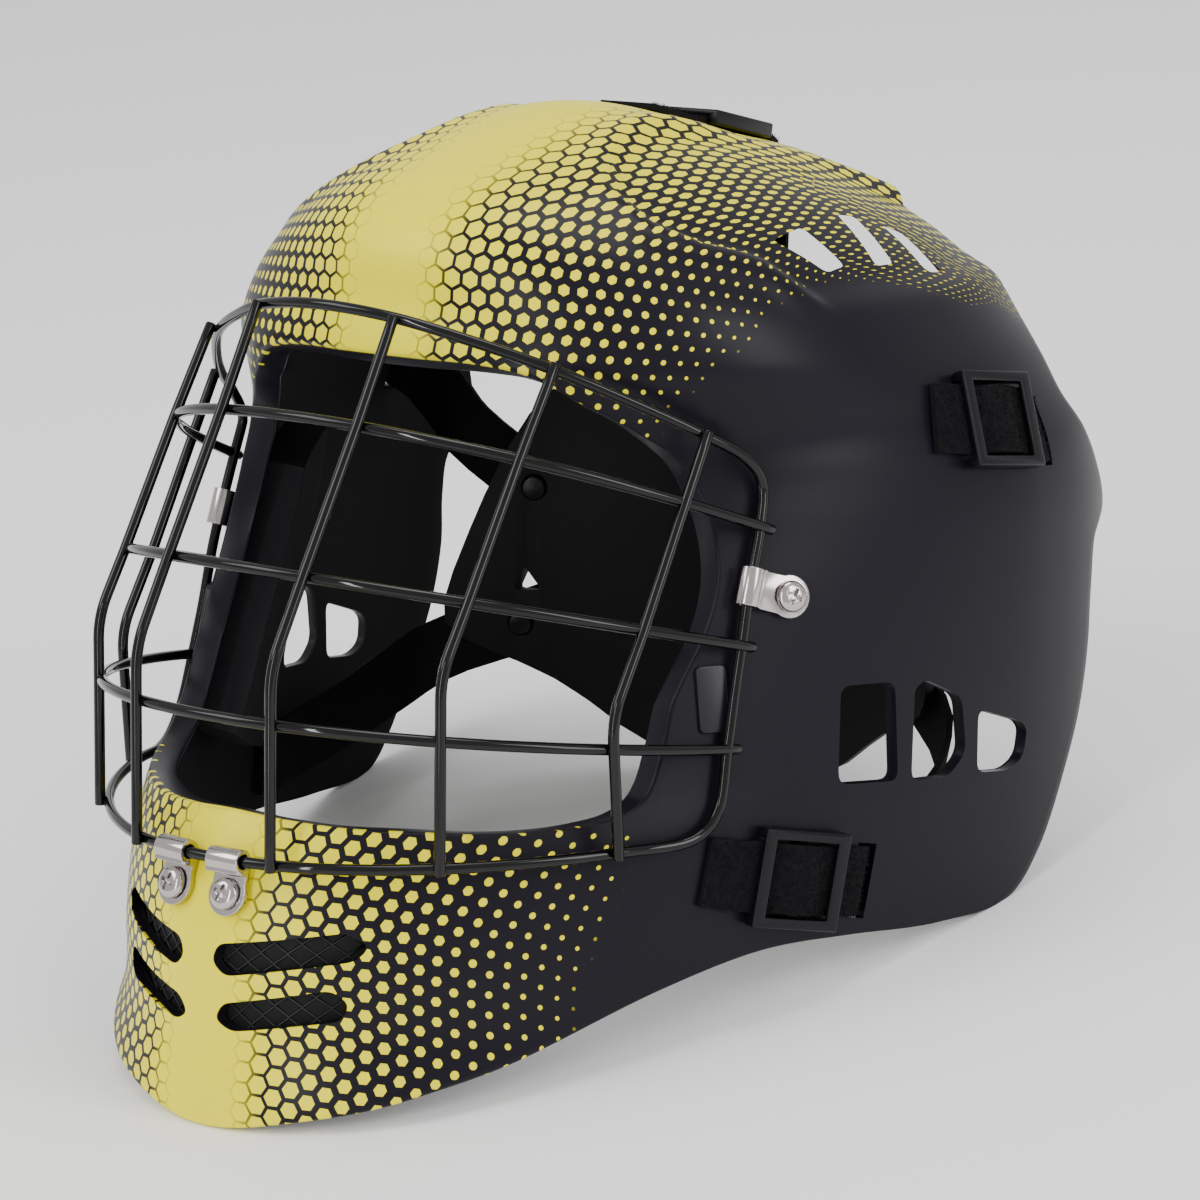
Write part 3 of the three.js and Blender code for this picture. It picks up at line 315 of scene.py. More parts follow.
def catmull_closed(points, turn):
    """The closed centripetal curve through the points, at turn from 0 to 1."""
    pts = np.asarray(points, float)
    n = len(pts)
    place = (np.asarray(turn) % 1) * n
    i = np.floor(place).astype(int)
    w = (place - i)[..., None]
    p0, p1, p2, p3 = (pts[(i + k) % n] for k in (-1, 0, 1, 2))
    d0, d1, d2 = (np.sqrt(np.linalg.norm(b - a, axis=-1, keepdims=True))
                  for a, b in ((p0, p1), (p1, p2), (p2, p3)))
    m1 = ((p1 - p0) / d0 - (p2 - p0) / (d0 + d1) + (p2 - p1) / d1) * d1
    m2 = ((p2 - p1) / d1 - (p3 - p1) / (d1 + d2) + (p3 - p2) / d2) * d1
    bend, twist = 3 * (p2 - p1) - 2 * m1 - m2, 2 * (p1 - p2) + m1 + m2
    return p1 + m1 * w + bend * w ** 2 + twist * w ** 3


def flip_x(points):
    return np.asarray(points, float) * np.array([-1, 1, 1])


def closed_edge(half):
    half = on_shell(np.array(half, float))
    return np.concatenate([half, flip_x(half[1:-1][::-1])])


LIP_EDGE = closed_edge([lip for lip, _ in RIBS])
RIM_EDGE = closed_edge([rim for _, rim in RIBS])


def rib_points(turn, part):
    """Points of the surface at turn round the shell and part of the way from lip to rim."""
    a, b = (unit(catmull_closed(edge, turn) - CENTRE) for edge in (LIP_EDGE, RIM_EDGE))
    angle = np.arccos(np.clip((a * b).sum(-1, keepdims=True), -1, 1))
    direction = a * np.sin((1 - part) * angle) + b * np.sin(part * angle)
    return on_shell(CENTRE + direction / np.sin(angle) * 100)


def corner(a, b, c, radius, steps):
    """Points that round the corner b between a and c."""
    start = b + unit(a - b) * radius
    end = b + unit(c - b) * radius
    ts = np.linspace(0, 1, steps)
    return [(1 - t) ** 2 * start + 2 * t * (1 - t) * b + t * t * end for t in ts]


# ---- meshes ------------------------------------------------------------------
COS, SIN = math.cos(REST_TILT), math.sin(REST_TILT)
TO_REST = np.array([[1, 0, 0], [0, COS, SIN], [0, -SIN, COS]])


def rested(points):
    """From the worn frame in millimetres to the rest frame in metres."""
    return (np.asarray(points, float) @ TO_REST.T + REST_SHIFT) / 1000


def worn(points):
    """From the rest frame in metres to the worn frame in millimetres."""
    return (np.asarray(points, float) * 1000 - REST_SHIFT) @ TO_REST


def new_object(name, points, faces, material=None):
    mesh = bpy.data.meshes.new(name)
    mesh.from_pydata(rested(points).tolist(), [], faces)
    mesh.validate()
    mesh.polygons.foreach_set("use_smooth", [True] * len(mesh.polygons))
    obj = bpy.data.objects.new(name, mesh)
    bpy.context.scene.collection.objects.link(obj)
    if material:
        mesh.materials.append(material)
    face_out(obj)
    return obj


def face_out(obj):
    bm = bmesh.new()
    bm.from_mesh(obj.data)
    bmesh.ops.recalc_face_normals(bm, faces=bm.faces)
    bm.to_mesh(obj.data)
    bm.free()


def skin_faces(rings, count, closed):
    """Faces over rings of count points each, joined end to end or capped."""
    faces = []
    turns = rings if closed else rings - 1
    for i in range(turns):
        here, there = i * count, ((i + 1) % rings) * count
        faces += [(here + j, there + j, there + (j + 1) % count, here + (j + 1) % count)
                  for j in range(count)]
    if not closed:
        faces.append(tuple(range(count))[::-1])
        faces.append(tuple((rings - 1) * count + j for j in range(count)))
    return faces


def tube(points, radius, closed=False, sides=20):
    """Vertices and faces of a round bar through a row of centres."""
    pts = np.asarray(points, float)
    if closed:
        along = np.roll(pts, -1, 0) - np.roll(pts, 1, 0)
    else:
        along = np.gradient(pts, axis=0)
    along = unit(along)
    side = np.array([0, 0, 1.0]) if abs(along[0][0]) > 0.9 else np.array([1.0, 0, 0])
    verts = []
    turn = 2 * np.pi * np.arange(sides) / sides
    for centre, direction in zip(pts, along):
        side = unit(side - direction * side.dot(direction))
        up = np.cross(direction, side)
        verts.append(centre + radius * (np.cos(turn)[:, None] * side + np.sin(turn)[:, None] * up))
    return np.concatenate(verts), skin_faces(len(pts), sides, closed)


def merged(parts):
    verts, faces, start = [], [], 0
    for v, f in parts:
        verts.append(v)
        faces += [tuple(i + start for i in face) for face in f]
        start += len(v)
    return np.concatenate(verts), faces


def rounded(outline, radius):
    pts = [np.array(p, float) for p in outline]
    out = []
    for i, p in enumerate(pts):
        a, c = pts[i - 1], pts[(i + 1) % len(pts)]
        r = min(radius, np.linalg.norm(a - p) * 0.45, np.linalg.norm(c - p) * 0.45)
        out += corner(a, p, c, r, 6)
    return out


def prism(outline, radius, place, low, high):
    """A closed prism over a rounded outline; place maps (a, b, depth) to a point."""
    ring = rounded(outline, radius)
    verts = [place(a, b, depth) for depth in (low, high) for a, b in ring]
    count = len(ring)
    faces = [(j, (j + 1) % count, count + (j + 1) % count, count + j) for j in range(count)]
    faces += [tuple(range(count))[::-1], tuple(range(count, 2 * count))]
    return np.array(verts, float), faces


def block(size, matrix):
    half = np.array(size) / 2
    signs = np.array([(x, y, z) for x in (-1, 1) for y in (-1, 1) for z in (-1, 1)])
    verts = (signs * half) @ matrix[:3, :3].T + matrix[:3, 3]
    faces = [(0, 1, 3, 2), (4, 6, 7, 5), (0, 4, 5, 1), (2, 3, 7, 6), (0, 2, 6, 4), (1, 5, 7, 3)]
    return verts, faces


def seat(near, along, across=None):
    """Axes on the shell: x along, y across, z out."""
    origin = on_shell(np.array(near, float))
    if across is None:
        out = shell_normal(origin)
        right = unit(np.array(along, float) - out * out.dot(along))
    else:
        across = 10 * np.array(across, float)
        up = unit(on_shell(origin + across) - on_shell(origin - across))
        right = unit(np.array(along, float) - up * up.dot(along))
        out = np.cross(right, up)
        if out.dot(shell_normal(origin)) < 0:
            out = -out
    matrix = np.eye(4)
    matrix[:3, 0], matrix[:3, 1], matrix[:3, 2] = right, np.cross(out, right), out
    matrix[:3, 3] = origin
    return matrix


def cut(obj, cutters):
    """Cuts each closed piece of cutters from obj."""
    for verts, faces in cutters:
        tool = new_object("tool", verts, faces)
        mod = obj.modifiers.new("cut", "BOOLEAN")
        mod.object = tool
        mod.operation = "DIFFERENCE"
        mod.solver = "MANIFOLD"
        apply_modifiers(obj)
        bpy.data.objects.remove(tool)


def apply_modifiers(obj):
    depsgraph = bpy.context.evaluated_depsgraph_get()
    made = bpy.data.meshes.new_from_object(obj.evaluated_get(depsgraph))
    old = obj.data
    obj.modifiers.clear()
    obj.data = made
    bpy.data.meshes.remove(old)


def smooth_by_angle(obj, degrees):
    obj.data.polygons.foreach_set("use_smooth", [True] * len(obj.data.polygons))
    obj.data.set_sharp_from_angle(angle=math.radians(degrees))


# ---- materials ---------------------------------------------------------------
class Graph:
    """A short way to write shader nodes."""

    def __init__(self, name):
        self.material = bpy.data.materials.new(name)
        self.material.use_nodes = True
        self.tree = self.material.node_tree
        self.shader = self.tree.nodes["Principled BSDF"]

    def node(self, kind, **settings):
        made = self.tree.nodes.new(kind)
        for key, value in settings.items():
            setattr(made, key, value)
        return made

    def feed(self, socket, value):
        if isinstance(value, bpy.types.NodeSocket):
            self.tree.links.new(value, socket)
        else:
            socket.default_value = value

    def math(self, operation, a, b=0.0, c=0.0):
        made = self.node("ShaderNodeMath", operation=operation)
        for socket, value in zip(made.inputs, (a, b, c)):
            self.feed(socket, value)
        return made.outputs[0]

    def mix(self, factor, a, b):
        made = self.node("ShaderNodeMix", data_type="RGBA")
        self.feed(made.inputs[0], factor)
        self.feed(made.inputs[6], a)
        self.feed(made.inputs[7], b)
        return made.outputs[2]

    def ramp(self, value, low, high):
        """A smooth rise from 0 at low to 1 at high."""
        made = self.node("ShaderNodeMapRange", interpolation_type="SMOOTHSTEP", clamp=True)
        for socket, given in zip(made.inputs, (value, low, high, 0.0, 1.0)):
            self.feed(socket, given)
        return made.outputs[0]

    def noise(self, scale):
        place = self.node("ShaderNodeTexCoord").outputs["Object"]
        made = self.node("ShaderNodeTexNoise")
        self.feed(made.inputs["Vector"], place)
        made.inputs["Scale"].default_value = scale
        made.inputs["Detail"].default_value = 2.0
        return made.outputs[0]

    def bump(self, height, strength, distance):
        made = self.node("ShaderNodeBump")
        made.inputs["Strength"].default_value = strength
        made.inputs["Distance"].default_value = distance
        self.feed(made.inputs["Height"], height)
        return made.outputs[0]

    def set(self, **values):
        for key, value in values.items():
            self.feed(self.shader.inputs[key.replace("_", " ")], value)
        return self.material


CHARCOAL = (0.0070, 0.0056, 0.0100, 1)
INNER_BLACK = (0.007, 0.0065, 0.008, 1)
YELLOW = (0.84, 0.74, 0.0, 1)
HEX_PITCH = 5.7
FULL_CELL = 0.475  # half width of a cell next to the plain band, in pitches
CELL_LOSS = 0.37  # how much of that is gone at the end of the print
CELL_FALL = 0.85  # under 1, so that the cells shrink faster near the plain band
CELL_EDGE = 0.018
DISC_FROM, DISC_TO = 0.45, 0.85  # the part of the way out over which hexagons turn into dots
BAND_FROM, BAND_TO = -0.02, 0.12  # and over which the plain band gives way to hexagons


def printed_material():
    """Yellow cells of a honeycomb on charcoal. print_place holds the place across and along in
    pitches and the part of the way to the end of the print; printed is 0 on the black inside,
    0.5 on bare shell and 1 on printed shell."""
    g = Graph("printed shell")
    attribute = g.node("ShaderNodeAttribute", attribute_name="print_place")
    parts = g.node("ShaderNodeSeparateXYZ")
    g.feed(parts.inputs[0], attribute.outputs["Vector"])
    x, y, fade = parts.outputs
    on = g.node("ShaderNodeAttribute", attribute_name="printed").outputs["Fac"]
    root3 = math.sqrt(3)
    ax = g.math("SUBTRACT", g.math("FLOORED_MODULO", x, 1.0), 0.5)
    ay = g.math("SUBTRACT", g.math("FLOORED_MODULO", y, root3), root3 / 2)
    shifted_x, shifted_y = g.math("SUBTRACT", x, 0.5), g.math("SUBTRACT", y, root3 / 2)
    bx = g.math("SUBTRACT", g.math("FLOORED_MODULO", shifted_x, 1.0), 0.5)
    by = g.math("SUBTRACT", g.math("FLOORED_MODULO", shifted_y, root3), root3 / 2)

    def hex_reach(px, py):
        px, py = g.math("ABSOLUTE", px), g.math("ABSOLUTE", py)
        slanted = g.math("MULTIPLY_ADD", px, 0.5, g.math("MULTIPLY", py, root3 / 2))
        square = g.math("ADD", g.math("MULTIPLY", px, px), g.math("MULTIPLY", py, py))
        return g.math("MAXIMUM", px, slanted), g.math("SQRT", square)

    hex_a, round_a = hex_reach(ax, ay)
    hex_b, round_b = hex_reach(bx, by)
    hexagon = g.math("MINIMUM", hex_a, hex_b)
    disc = g.math("MINIMUM", round_a, round_b)
    roundness = g.ramp(fade, DISC_FROM, DISC_TO)
    reach = g.math("ADD", g.math("MULTIPLY", hexagon, g.math("SUBTRACT", 1.0, roundness)),
                   g.math("MULTIPLY", disc, roundness))
    part_out = g.math("POWER", g.math("MAXIMUM", fade, 0.0), CELL_FALL)
    size = g.math("MULTIPLY_ADD", part_out, -CELL_LOSS, FULL_CELL)
    inside = g.ramp(g.math("SUBTRACT", size, reach), -CELL_EDGE, CELL_EDGE)
    band = g.math("SUBTRACT", 1.0, g.ramp(fade, BAND_FROM, BAND_TO))
    kept = g.math("SUBTRACT", 1.0, g.ramp(fade, 1.0, 1.06))
    cell = g.math("MAXIMUM", inside, band)
    shown = g.math("MULTIPLY", g.math("MULTIPLY", cell, kept), g.ramp(on, 0.9, 0.97))
    outside = g.ramp(on, 0.1, 0.35)
    colour = g.mix(shown, g.mix(outside, INNER_BLACK, CHARCOAL), YELLOW)
    grain = g.noise(900.0)
    rough = g.math("MULTIPLY_ADD", grain, 0.06, 0.3)
    rough = g.math("MULTIPLY_ADD", g.math("SUBTRACT", 1.0, outside), 0.5, rough)
    return g.set(Base_Color=colour, Roughness=rough, Specular_IOR_Level=0.15,
                 Normal=g.bump(grain, 0.06, 0.0002))


def plain_material(name, colour, roughness, metallic=0.0, grain=0.0, scale=800.0, specular=0.5,
                   stain=0.3):
    """One colour, a little darker in speckles, and a bump of strength grain."""
    g = Graph(name)
    speckle = g.noise(scale)
    darker = (*[0.7 * c for c in colour], 1)
    values = {
        "Base_Color": g.mix(g.math("MULTIPLY", speckle, stain), (*colour, 1), darker),
        "Roughness": g.math("MULTIPLY_ADD", speckle, 0.08, roughness - 0.04),
        "Metallic": metallic,
        "Specular_IOR_Level": specular,
    }
    if grain:
        values["Normal"] = g.bump(speckle, grain, 0.0004)
    return g.set(**values)


SHELL = printed_material()
WIRE = plain_material("black enamel", (0.002, 0.002, 0.0022), 0.07, specular=0.32)
NICKEL = plain_material("nickel", (0.50, 0.46, 0.45), 0.16, metallic=1.0)
SCREEN = plain_material("mesh enamel", (0.010, 0.010, 0.011), 0.4, specular=0.3)
FOAM = plain_material("foam", (0.02, 0.019, 0.022), 0.95, grain=0.6, scale=1500.0, specular=0.1)
WEBBING = plain_material("webbing", (0.006, 0.0055, 0.007), 0.92, grain=0.9, scale=1600.0,
                         specular=0.15)
BUCKLE = plain_material("buckle plastic", (0.0048, 0.0042, 0.0062), 0.3, grain=0.1, specular=0.2)
TABLET_PLASTIC = plain_material("tablet", (0.0095, 0.0082, 0.0135), 0.35, specular=0.35)
PLATE = plain_material("plate", (0.004, 0.004, 0.0045), 0.6, specular=0.2)
FLOOR = plain_material("floor", (0.96, 0.96, 0.96), 0.9, scale=3.0, stain=0.02, specular=0.1)


# ---- where the print lies ----------------------------------------------------
# The outer end of the print, from the chin over the brow to the back of the crown.
PRINT_END = np.array([
    (82, -71, 39), (85, -58, 65), (75, -21, 199), (82, -15, 205), (87, -11, 213), (92, 0, 219),
    (92, 6, 228), (98, 48, 230), (106, 89, 221), (101, 129, 213)], float)
PLAIN_BAND = 10.0  # half width of the unbroken yellow
PRINT_LEVEL = 135  # the crown's print lies above this height and the chin's below it
BARE_LEVELS = (97, 176)  # between these heights the side has no print
# How far the rows' planes lean from level, in degrees, at distances up and over the profile.
CROWN_LEANS = [(0, -6.7), (107, 24), (200, 50), (300, 70), (420, 78)]
CHIN_LEANS = [(0, 9.5)]
CHIN_PROFILE = np.array([(-130.0, -8.0), (-112.0, 100.0)])
OUTER_DEPTH = 3.0  # the wall looks like the outside down to this depth
LIP_REACH = 9.6  # and within this distance of the edge of the face opening


class PrintAxes:
    """Square axes over one stretch of the shell: rows in planes that fan out from the profile in
    the mirror plane, and the way out from it along each row."""

    DEPTH = 70.0  # of the middle the outward angles are taken from, behind the profile
    ANGLES = 116  # one for each degree from 0
    BLEND = 20  # samples of the profile on each side that a lean is averaged over
    SHRINK = (0.5, 1.25)  # limits of the rows' spacing out on the side
    BATCH = 4000  # points worked out at a time

    def __init__(self, line, leans):
        stride = np.linalg.norm(np.diff(line, axis=0), axis=-1)
        length = np.concatenate([[0], np.cumsum(stride)])
        s = np.arange(0, length[-1], 1.0)
        self.place = np.stack([np.interp(s, length, line[:, k]) for k in (0, 1)], -1)
        turn = np.radians(np.interp(s, [at for at, _ in leans], [lean for _, lean in leans]))
        window = np.ones(2 * self.BLEND + 1) / (2 * self.BLEND + 1)
        turn = np.convolve(np.pad(turn, self.BLEND, mode="edge"), window, "valid")
        self.inward = np.stack([np.cos(turn), -np.sin(turn)], -1)
        self.across_rows = np.stack([np.sin(turn), np.cos(turn)], -1)
        step = (np.gradient(self.place, axis=0) * self.across_rows).sum(-1)
        self.along = np.cumsum(step)
        angles = np.radians(np.arange(self.ANGLES))
        middle = self.place + self.inward * self.DEPTH
        yz = -self.inward[:, None, :] * np.cos(angles)[None, :, None]
        out = np.broadcast_to(np.sin(angles)[None, :, None], yz.shape[:2] + (1,))
        ray = np.concatenate([out, yz], -1)
        start = np.concatenate([np.zeros((len(s), 1)), middle], -1)[:, None, :]
        p = way_out(start, ray, 2.0, 300.0, 30)
        depth = ((p[..., 1:] - self.place[:, None, :]) * self.inward[:, None, :]).sum(-1)
        shrink = np.clip(1 - (np.gradient(turn) / step)[:, None] * depth, *self.SHRINK)
        stride = np.linalg.norm(np.diff(p, axis=1), axis=-1)
        wide = stride * 2 / (shrink[:, 1:] + shrink[:, :-1])
        self.distance = np.pad(np.cumsum(stride, 1), ((0, 0), (1, 0)))
        self.across = np.pad(np.cumsum(wide, 1), ((0, 0), (1, 0)))

    def at(self, p):
        """The print's place across and along, and the real distance out, of points."""
        past = (self.place * self.across_rows).sum(-1)
        rank = np.empty(len(p))
        below = np.empty(len(p))
        for start in range(0, len(p), self.BATCH):
            batch = slice(start, start + self.BATCH)
            gap = p[batch, 1:] @ self.across_rows.T - past
            i = np.clip(np.where((gap < 0).any(1), (gap < 0).argmax(1), len(past) - 1), 1, None)
            pick = np.arange(len(i))
            before, after = gap[pick, i - 1], gap[pick, i]
            rank[batch] = i - 1 + np.clip(before / (before - after), 0, 1)
            below[batch] = np.minimum(gap[:, 0], 0)
        rank = np.clip(rank, 0, len(past) - 1.001)
        i = rank.astype(int)
        f = (rank - i)[:, None]
        place = self.place[i] * (1 - f) + self.place[i + 1] * f
        inward = unit(self.inward[i] * (1 - f) + self.inward[i + 1] * f)
        high = ((place + inward * self.DEPTH - p[:, 1:]) * inward).sum(-1)
        angle = np.degrees(np.arctan2(np.abs(p[:, 0]), high))
        angle = np.clip(angle, 0, self.ANGLES - 1.001)
        j = angle.astype(int)
        t, f = angle - j, f[:, 0]

        def look(grid):
            return ((1 - f) * ((1 - t) * grid[i, j] + t * grid[i, j + 1])
                    + f * ((1 - t) * grid[i + 1, j] + t * grid[i + 1, j + 1]))
        along = self.along[i] * (1 - f) + self.along[i + 1] * f + below
        return look(self.across), along, look(self.distance)


def profile(low, high):
    """The shell's outline in the mirror plane between two angles from the front."""
    angles = np.radians(np.linspace(low, high, 400))
    points = on_shell(CENTRE + 100 * np.stack([0 * angles, -np.cos(angles), np.sin(angles)], -1))
    return points[:, 1:]


CROWN_AXES = PrintAxes(profile(30, 178), CROWN_LEANS)
CHIN_AXES = PrintAxes(CHIN_PROFILE, CHIN_LEANS)


def print_at(p):
    """Whether points are on the crown's print, and their place across and along and distance out
    by the axes of the print they are on."""
    high = p[:, 2] > PRINT_LEVEL
    crown, chin = CROWN_AXES.at(p), CHIN_AXES.at(p)
    return (high, *(np.where(high, a, b) for a, b in zip(crown, chin)))


END_HIGH, _, END_ALONG, END_DISTANCE = print_at(on_shell(PRINT_END))
LIP_POINTS = 800
LIP_TREE = kdtree.KDTree(LIP_POINTS)
for index, place in enumerate(catmull_closed(LIP_EDGE, np.arange(LIP_POINTS) / LIP_POINTS)):
    LIP_TREE.insert(place, index)
LIP_TREE.balance()


def print_end(along, on_crown):
    """How far out the print ends at places along the crown or the chin."""
    here = END_HIGH == on_crown
    order = np.argsort(END_ALONG[here])
    return np.interp(along, END_ALONG[here][order], END_DISTANCE[here][order])


def lay_print(obj):
    """Writes the print's coordinates on every vertex, and what the surface there is: 0 the black
    inside, 0.5 bare shell and 1 printed shell."""
    count = len(obj.data.vertices)
    flat = np.empty(count * 3)
    obj.data.vertices.foreach_get("co", flat)
    p = worn(flat.reshape(-1, 3))
    high, across, along, distance = print_at(p)
    across = across * np.where(p[:, 0] < 0, -1, 1)
    end = np.where(high, print_end(along, True), print_end(along, False))
    fade = (distance - PLAIN_BAND) / (end - PLAIN_BAND)
    x, y = np.where(high, across, along), np.where(high, along, across)
    place = np.stack([x / HEX_PITCH, y / HEX_PITCH, fade], -1)
    foot = on_shell(p)
    height = ((p - foot) * shell_normal(foot)).sum(-1) - relief(foot)
    bare = (p[:, 2] > BARE_LEVELS[0]) & (p[:, 2] < BARE_LEVELS[1])
    by_lip = np.array([LIP_TREE.find(point)[2] for point in p]) < LIP_REACH
    on = np.where(height > -OUTER_DEPTH, np.where(bare, 0.5, 1.0), np.where(by_lip, 0.5, 0.0))
    for name, kind, field, values in (("print_place", "FLOAT_VECTOR", "vector", place),
                                      ("printed", "FLOAT", "value", on)):
        layer = obj.data.attributes.new(name, kind, "POINT")
        layer.data.foreach_set(field, values.astype(np.float32).ravel())


# ---- shell -------------------------------------------------------------------
def make_shell():
    """The closed wall: each rib runs from the lip over the outside, round the rim and back."""
    ribs, spans, inner_spans, rim_steps = 420, 84, 40, 7
    toward_lip = 1.15  # over 1, so that the points lie closer together near the lip
    inner_start = 0.03  # part of the way out where the inside of the wall starts
    turn = np.arange(ribs) / ribs

    def ring(part):
        return rib_points(turn, np.full((ribs, 1), part))
    edge = ring(0.0)
    normal = shell_normal(edge)
    toward = unit(ring(0.04) - edge)
    outer = []
    for part in np.linspace(0, 1, spans + 1)[1:]:
        p = ring(part ** toward_lip)
        outer.append(p + shell_normal(p) * relief(p)[:, None])
    low_front = edge + (-LIP_DEPTH * normal - LIP_LEAN * toward)
    low_back = low_front + toward * LIP_THICKNESS
    inner = []
    for part in np.linspace(0, 1, inner_spans + 1):
        p = ring(inner_start + (1 - inner_start) * part)
        inner.append(p - shell_normal(p) * WALL)
    rim, last_in = outer[-1], inner[-1]
    outward = unit(rim - outer[-2])
    arc = [(rim + last_in) / 2 + (rim - last_in) / 2 * math.cos(angle)
           + outward * RIM_BULGE * math.sin(angle)
           for angle in np.linspace(0, np.pi, rim_steps)[1:-1]]
    inner_lip = edge + toward * LIP_THICKNESS - normal * WALL
    chain = (corner(low_front, edge, outer[0], LIP_ROUND, 5) + outer + arc + inner[::-1]
             + [inner_lip] + corner(inner_lip, low_back, low_front, LIP_ROUND, 4)
             + corner(low_back, low_front, edge, LIP_ROUND, 4))
    points = np.stack(chain, 1).reshape(-1, 3)
    shell = new_object("shell_visual", points, skin_faces(ribs, len(chain), True), SHELL)
    cut(shell, shell_holes())
    smooth_by_angle(shell, 40)
    lay_print(shell)
    finish_piece(shell, ["shell"])


def shell_holes():
    """Cutters of the vents, the mouth slots and the strap slots, long enough to pass right
    through one wall, or both walls for the side vents."""
    side_round, crown_round, mouth_round = 3.5, 2, 2.5
    cutters = [prism(o, side_round, lambda a, b, d: (d, a, b), -160, 160) for o in SIDE_VENTS]
    for side in (1, -1):
        cutters += [prism(o, crown_round, lambda a, b, d, s=side: (s * a, b, d), 200, 300)
                    for o in CROWN_VENTS]
        cutters += [prism(o, mouth_round, lambda a, b, d, s=side: (s * a, -d, b), 80, 170)
                    for o in MOUTH_SLOTS]
    for end, slot, across in SLOTS:
        for side in (1, -1) if slot[0] else (1,):
            flip = np.array([side, 1, 1])
            along = (np.array(slot) - np.array(end)) * flip
            matrix = seat(np.array(slot) * flip, along, np.array(across) * flip)
            matrix[:3, 3] += STRAP_SLOT["shift"] * matrix[:3, 0]
            cutters.append(block(STRAP_SLOT["size"], matrix))
    return cutters


def make_tablet(side):
    x, y, z = TABLET["centre"]
    matrix = seat((side * x, y, z), (0, 0, 1))
    tall, wide = TABLET["half_height"], TABLET["half_width"]
    outline = [(tall, wide), (-tall, wide), (-tall, -wide), (tall, -wide)]

    def place(a, b, d):
        return matrix[:3, :3] @ np.array([a, b, d]) + matrix[:3, 3]
    verts, faces = prism(outline, TABLET["round"], place, -TABLET["sunk"], TABLET["rise"])
    tablet = new_object(f"tablet_{side}", verts, faces, TABLET_PLASTIC)
    bevel(tablet, 0.4, 3)
    smooth_by_angle(tablet, 40)
    finish_piece(tablet, [])


def bevel(obj, width, segments, angle=30):
    mod = obj.modifiers.new("bevel", "BEVEL")
    mod.width = width / 1000
    mod.segments = segments
    mod.limit_method = "ANGLE"
    mod.angle_limit = math.radians(angle)
    apply_modifiers(obj)


def finish_piece(obj, nodes):
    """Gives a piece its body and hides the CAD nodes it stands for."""
    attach(obj, "root")
    if nodes:
        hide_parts(*nodes)
    return obj


make_shell()
make_tablet(1)
make_tablet(-1)


# ---- cage --------------------------------------------------------------------
def cage_outward(p):
    """The way out from the oval that the cage follows in plan."""
    x = p[..., 0] / CAGE_PLAN["half_width"] ** 2
    y = (p[..., 1] - CAGE_PLAN["middle"]) / CAGE_PLAN["reach"] ** 2
    return unit(np.stack([x, y, np.zeros(p.shape[:-1])], -1))


def border_points(count):
    """The border wire's centre line, kept clear of the shell."""
    ring = np.concatenate([CAGE_BORDER, flip_x(CAGE_BORDER[1:-1][::-1])])
    p = catmull_closed(ring, np.arange(count) / count)
    p = p - WELD_BITE * cage_outward(p)
    foot = on_shell(p)
    normal = shell_normal(foot)
    h = WIRE_HEIGHT
    by_clip = smooth_rise(p[:, 2] - h["level"], h["near"], h["far"])
    wanted = h["elsewhere"] + (h["at_clip"] - h["elsewhere"]) * by_clip
    height = ((p - foot) * normal).sum(-1)
    return p + normal * np.maximum(wanted - height, 0)[:, None]


def level_bar(z, slope, at, half_x, half_y, middle, end_y):
    """A level bar's centre line, just inside the uprights."""
    end = math.acos((middle - end_y) / half_y)
    turn = np.linspace(end, -end, 81)
    y = middle - (half_y - BAR_INSET) * np.cos(turn)
    return np.stack([half_x * np.sin(turn), y, z - slope * (y - at)], -1)


def upright(x, path):
    """An upright's centre line, with a rounded bend at its fourth point."""
    pts = [np.array(p, float) for p in path]
    bend = corner(pts[2], pts[3], pts[4], UPRIGHT_BEND, 9)
    plane = np.array(pts[:3] + bend + pts[4:])
    fine = []
    for a, b in zip(plane[:-1], plane[1:]):
        steps = max(2, int(np.linalg.norm(b - a) / 6))
        fine += [a + (b - a) * t for t in np.linspace(0, 1, steps, endpoint=False)]
    fine = np.array(fine + [plane[-1]])
    p = np.concatenate([np.full((len(fine), 1), float(x)), fine], 1)
    return p + WELD_BITE * cage_outward(p)


def make_cage():
    parts = [tube(border_points(300), WIRE_RADIUS, closed=True)]
    parts += [tube(level_bar(*row), WIRE_RADIUS) for row in CAGE_BARS]
    for x, path in CAGE_UPRIGHTS:
        parts += [tube(upright(x, path), WIRE_RADIUS), tube(upright(-x, path), WIRE_RADIUS)]
    cage = new_object("cage_visual", *merged(parts), WIRE)
    bevel(cage, 0.5, 2, 60)
    smooth_by_angle(cage, 40)
    finish_piece(cage, ["cage"])


make_cage()


# ---- mesh behind the mouth slots ---------------------------------------------
def make_screen():
    """Zigzag strands that cross in diamonds, on the panel behind the slots."""
    half_width, low, high = 51.0, 28.0, 65.5
    cell_x, cell_z = 7.3, 6.2
    columns = int(half_width / cell_x) * 2
    xs = (np.arange(2 * columns + 1) - columns) * cell_x / 2
    parts = []
    row = low
    while row <= high + 0.1:
        for sign in (1, -1):
            z = np.clip(row + sign * (np.arange(len(xs)) % 2) * cell_z / 2, low, high)
            flat = 1 - (np.abs(xs) / half_width_at(z)) ** roundness_at(z)
            y = middle_at(z) - front_at(z) * flat ** (1 / roundness_at(z))
            p = on_shell(np.stack([xs, y, z], -1))
            p = p - shell_normal(p) * (WALL + SCREEN_GAP)
            parts.append(tube(p, STRAND_RADIUS, sides=6))
        row += cell_z
    screen = new_object("mouth_screen_strands", *merged(parts), SCREEN)
    finish_piece(screen, [])


make_screen()


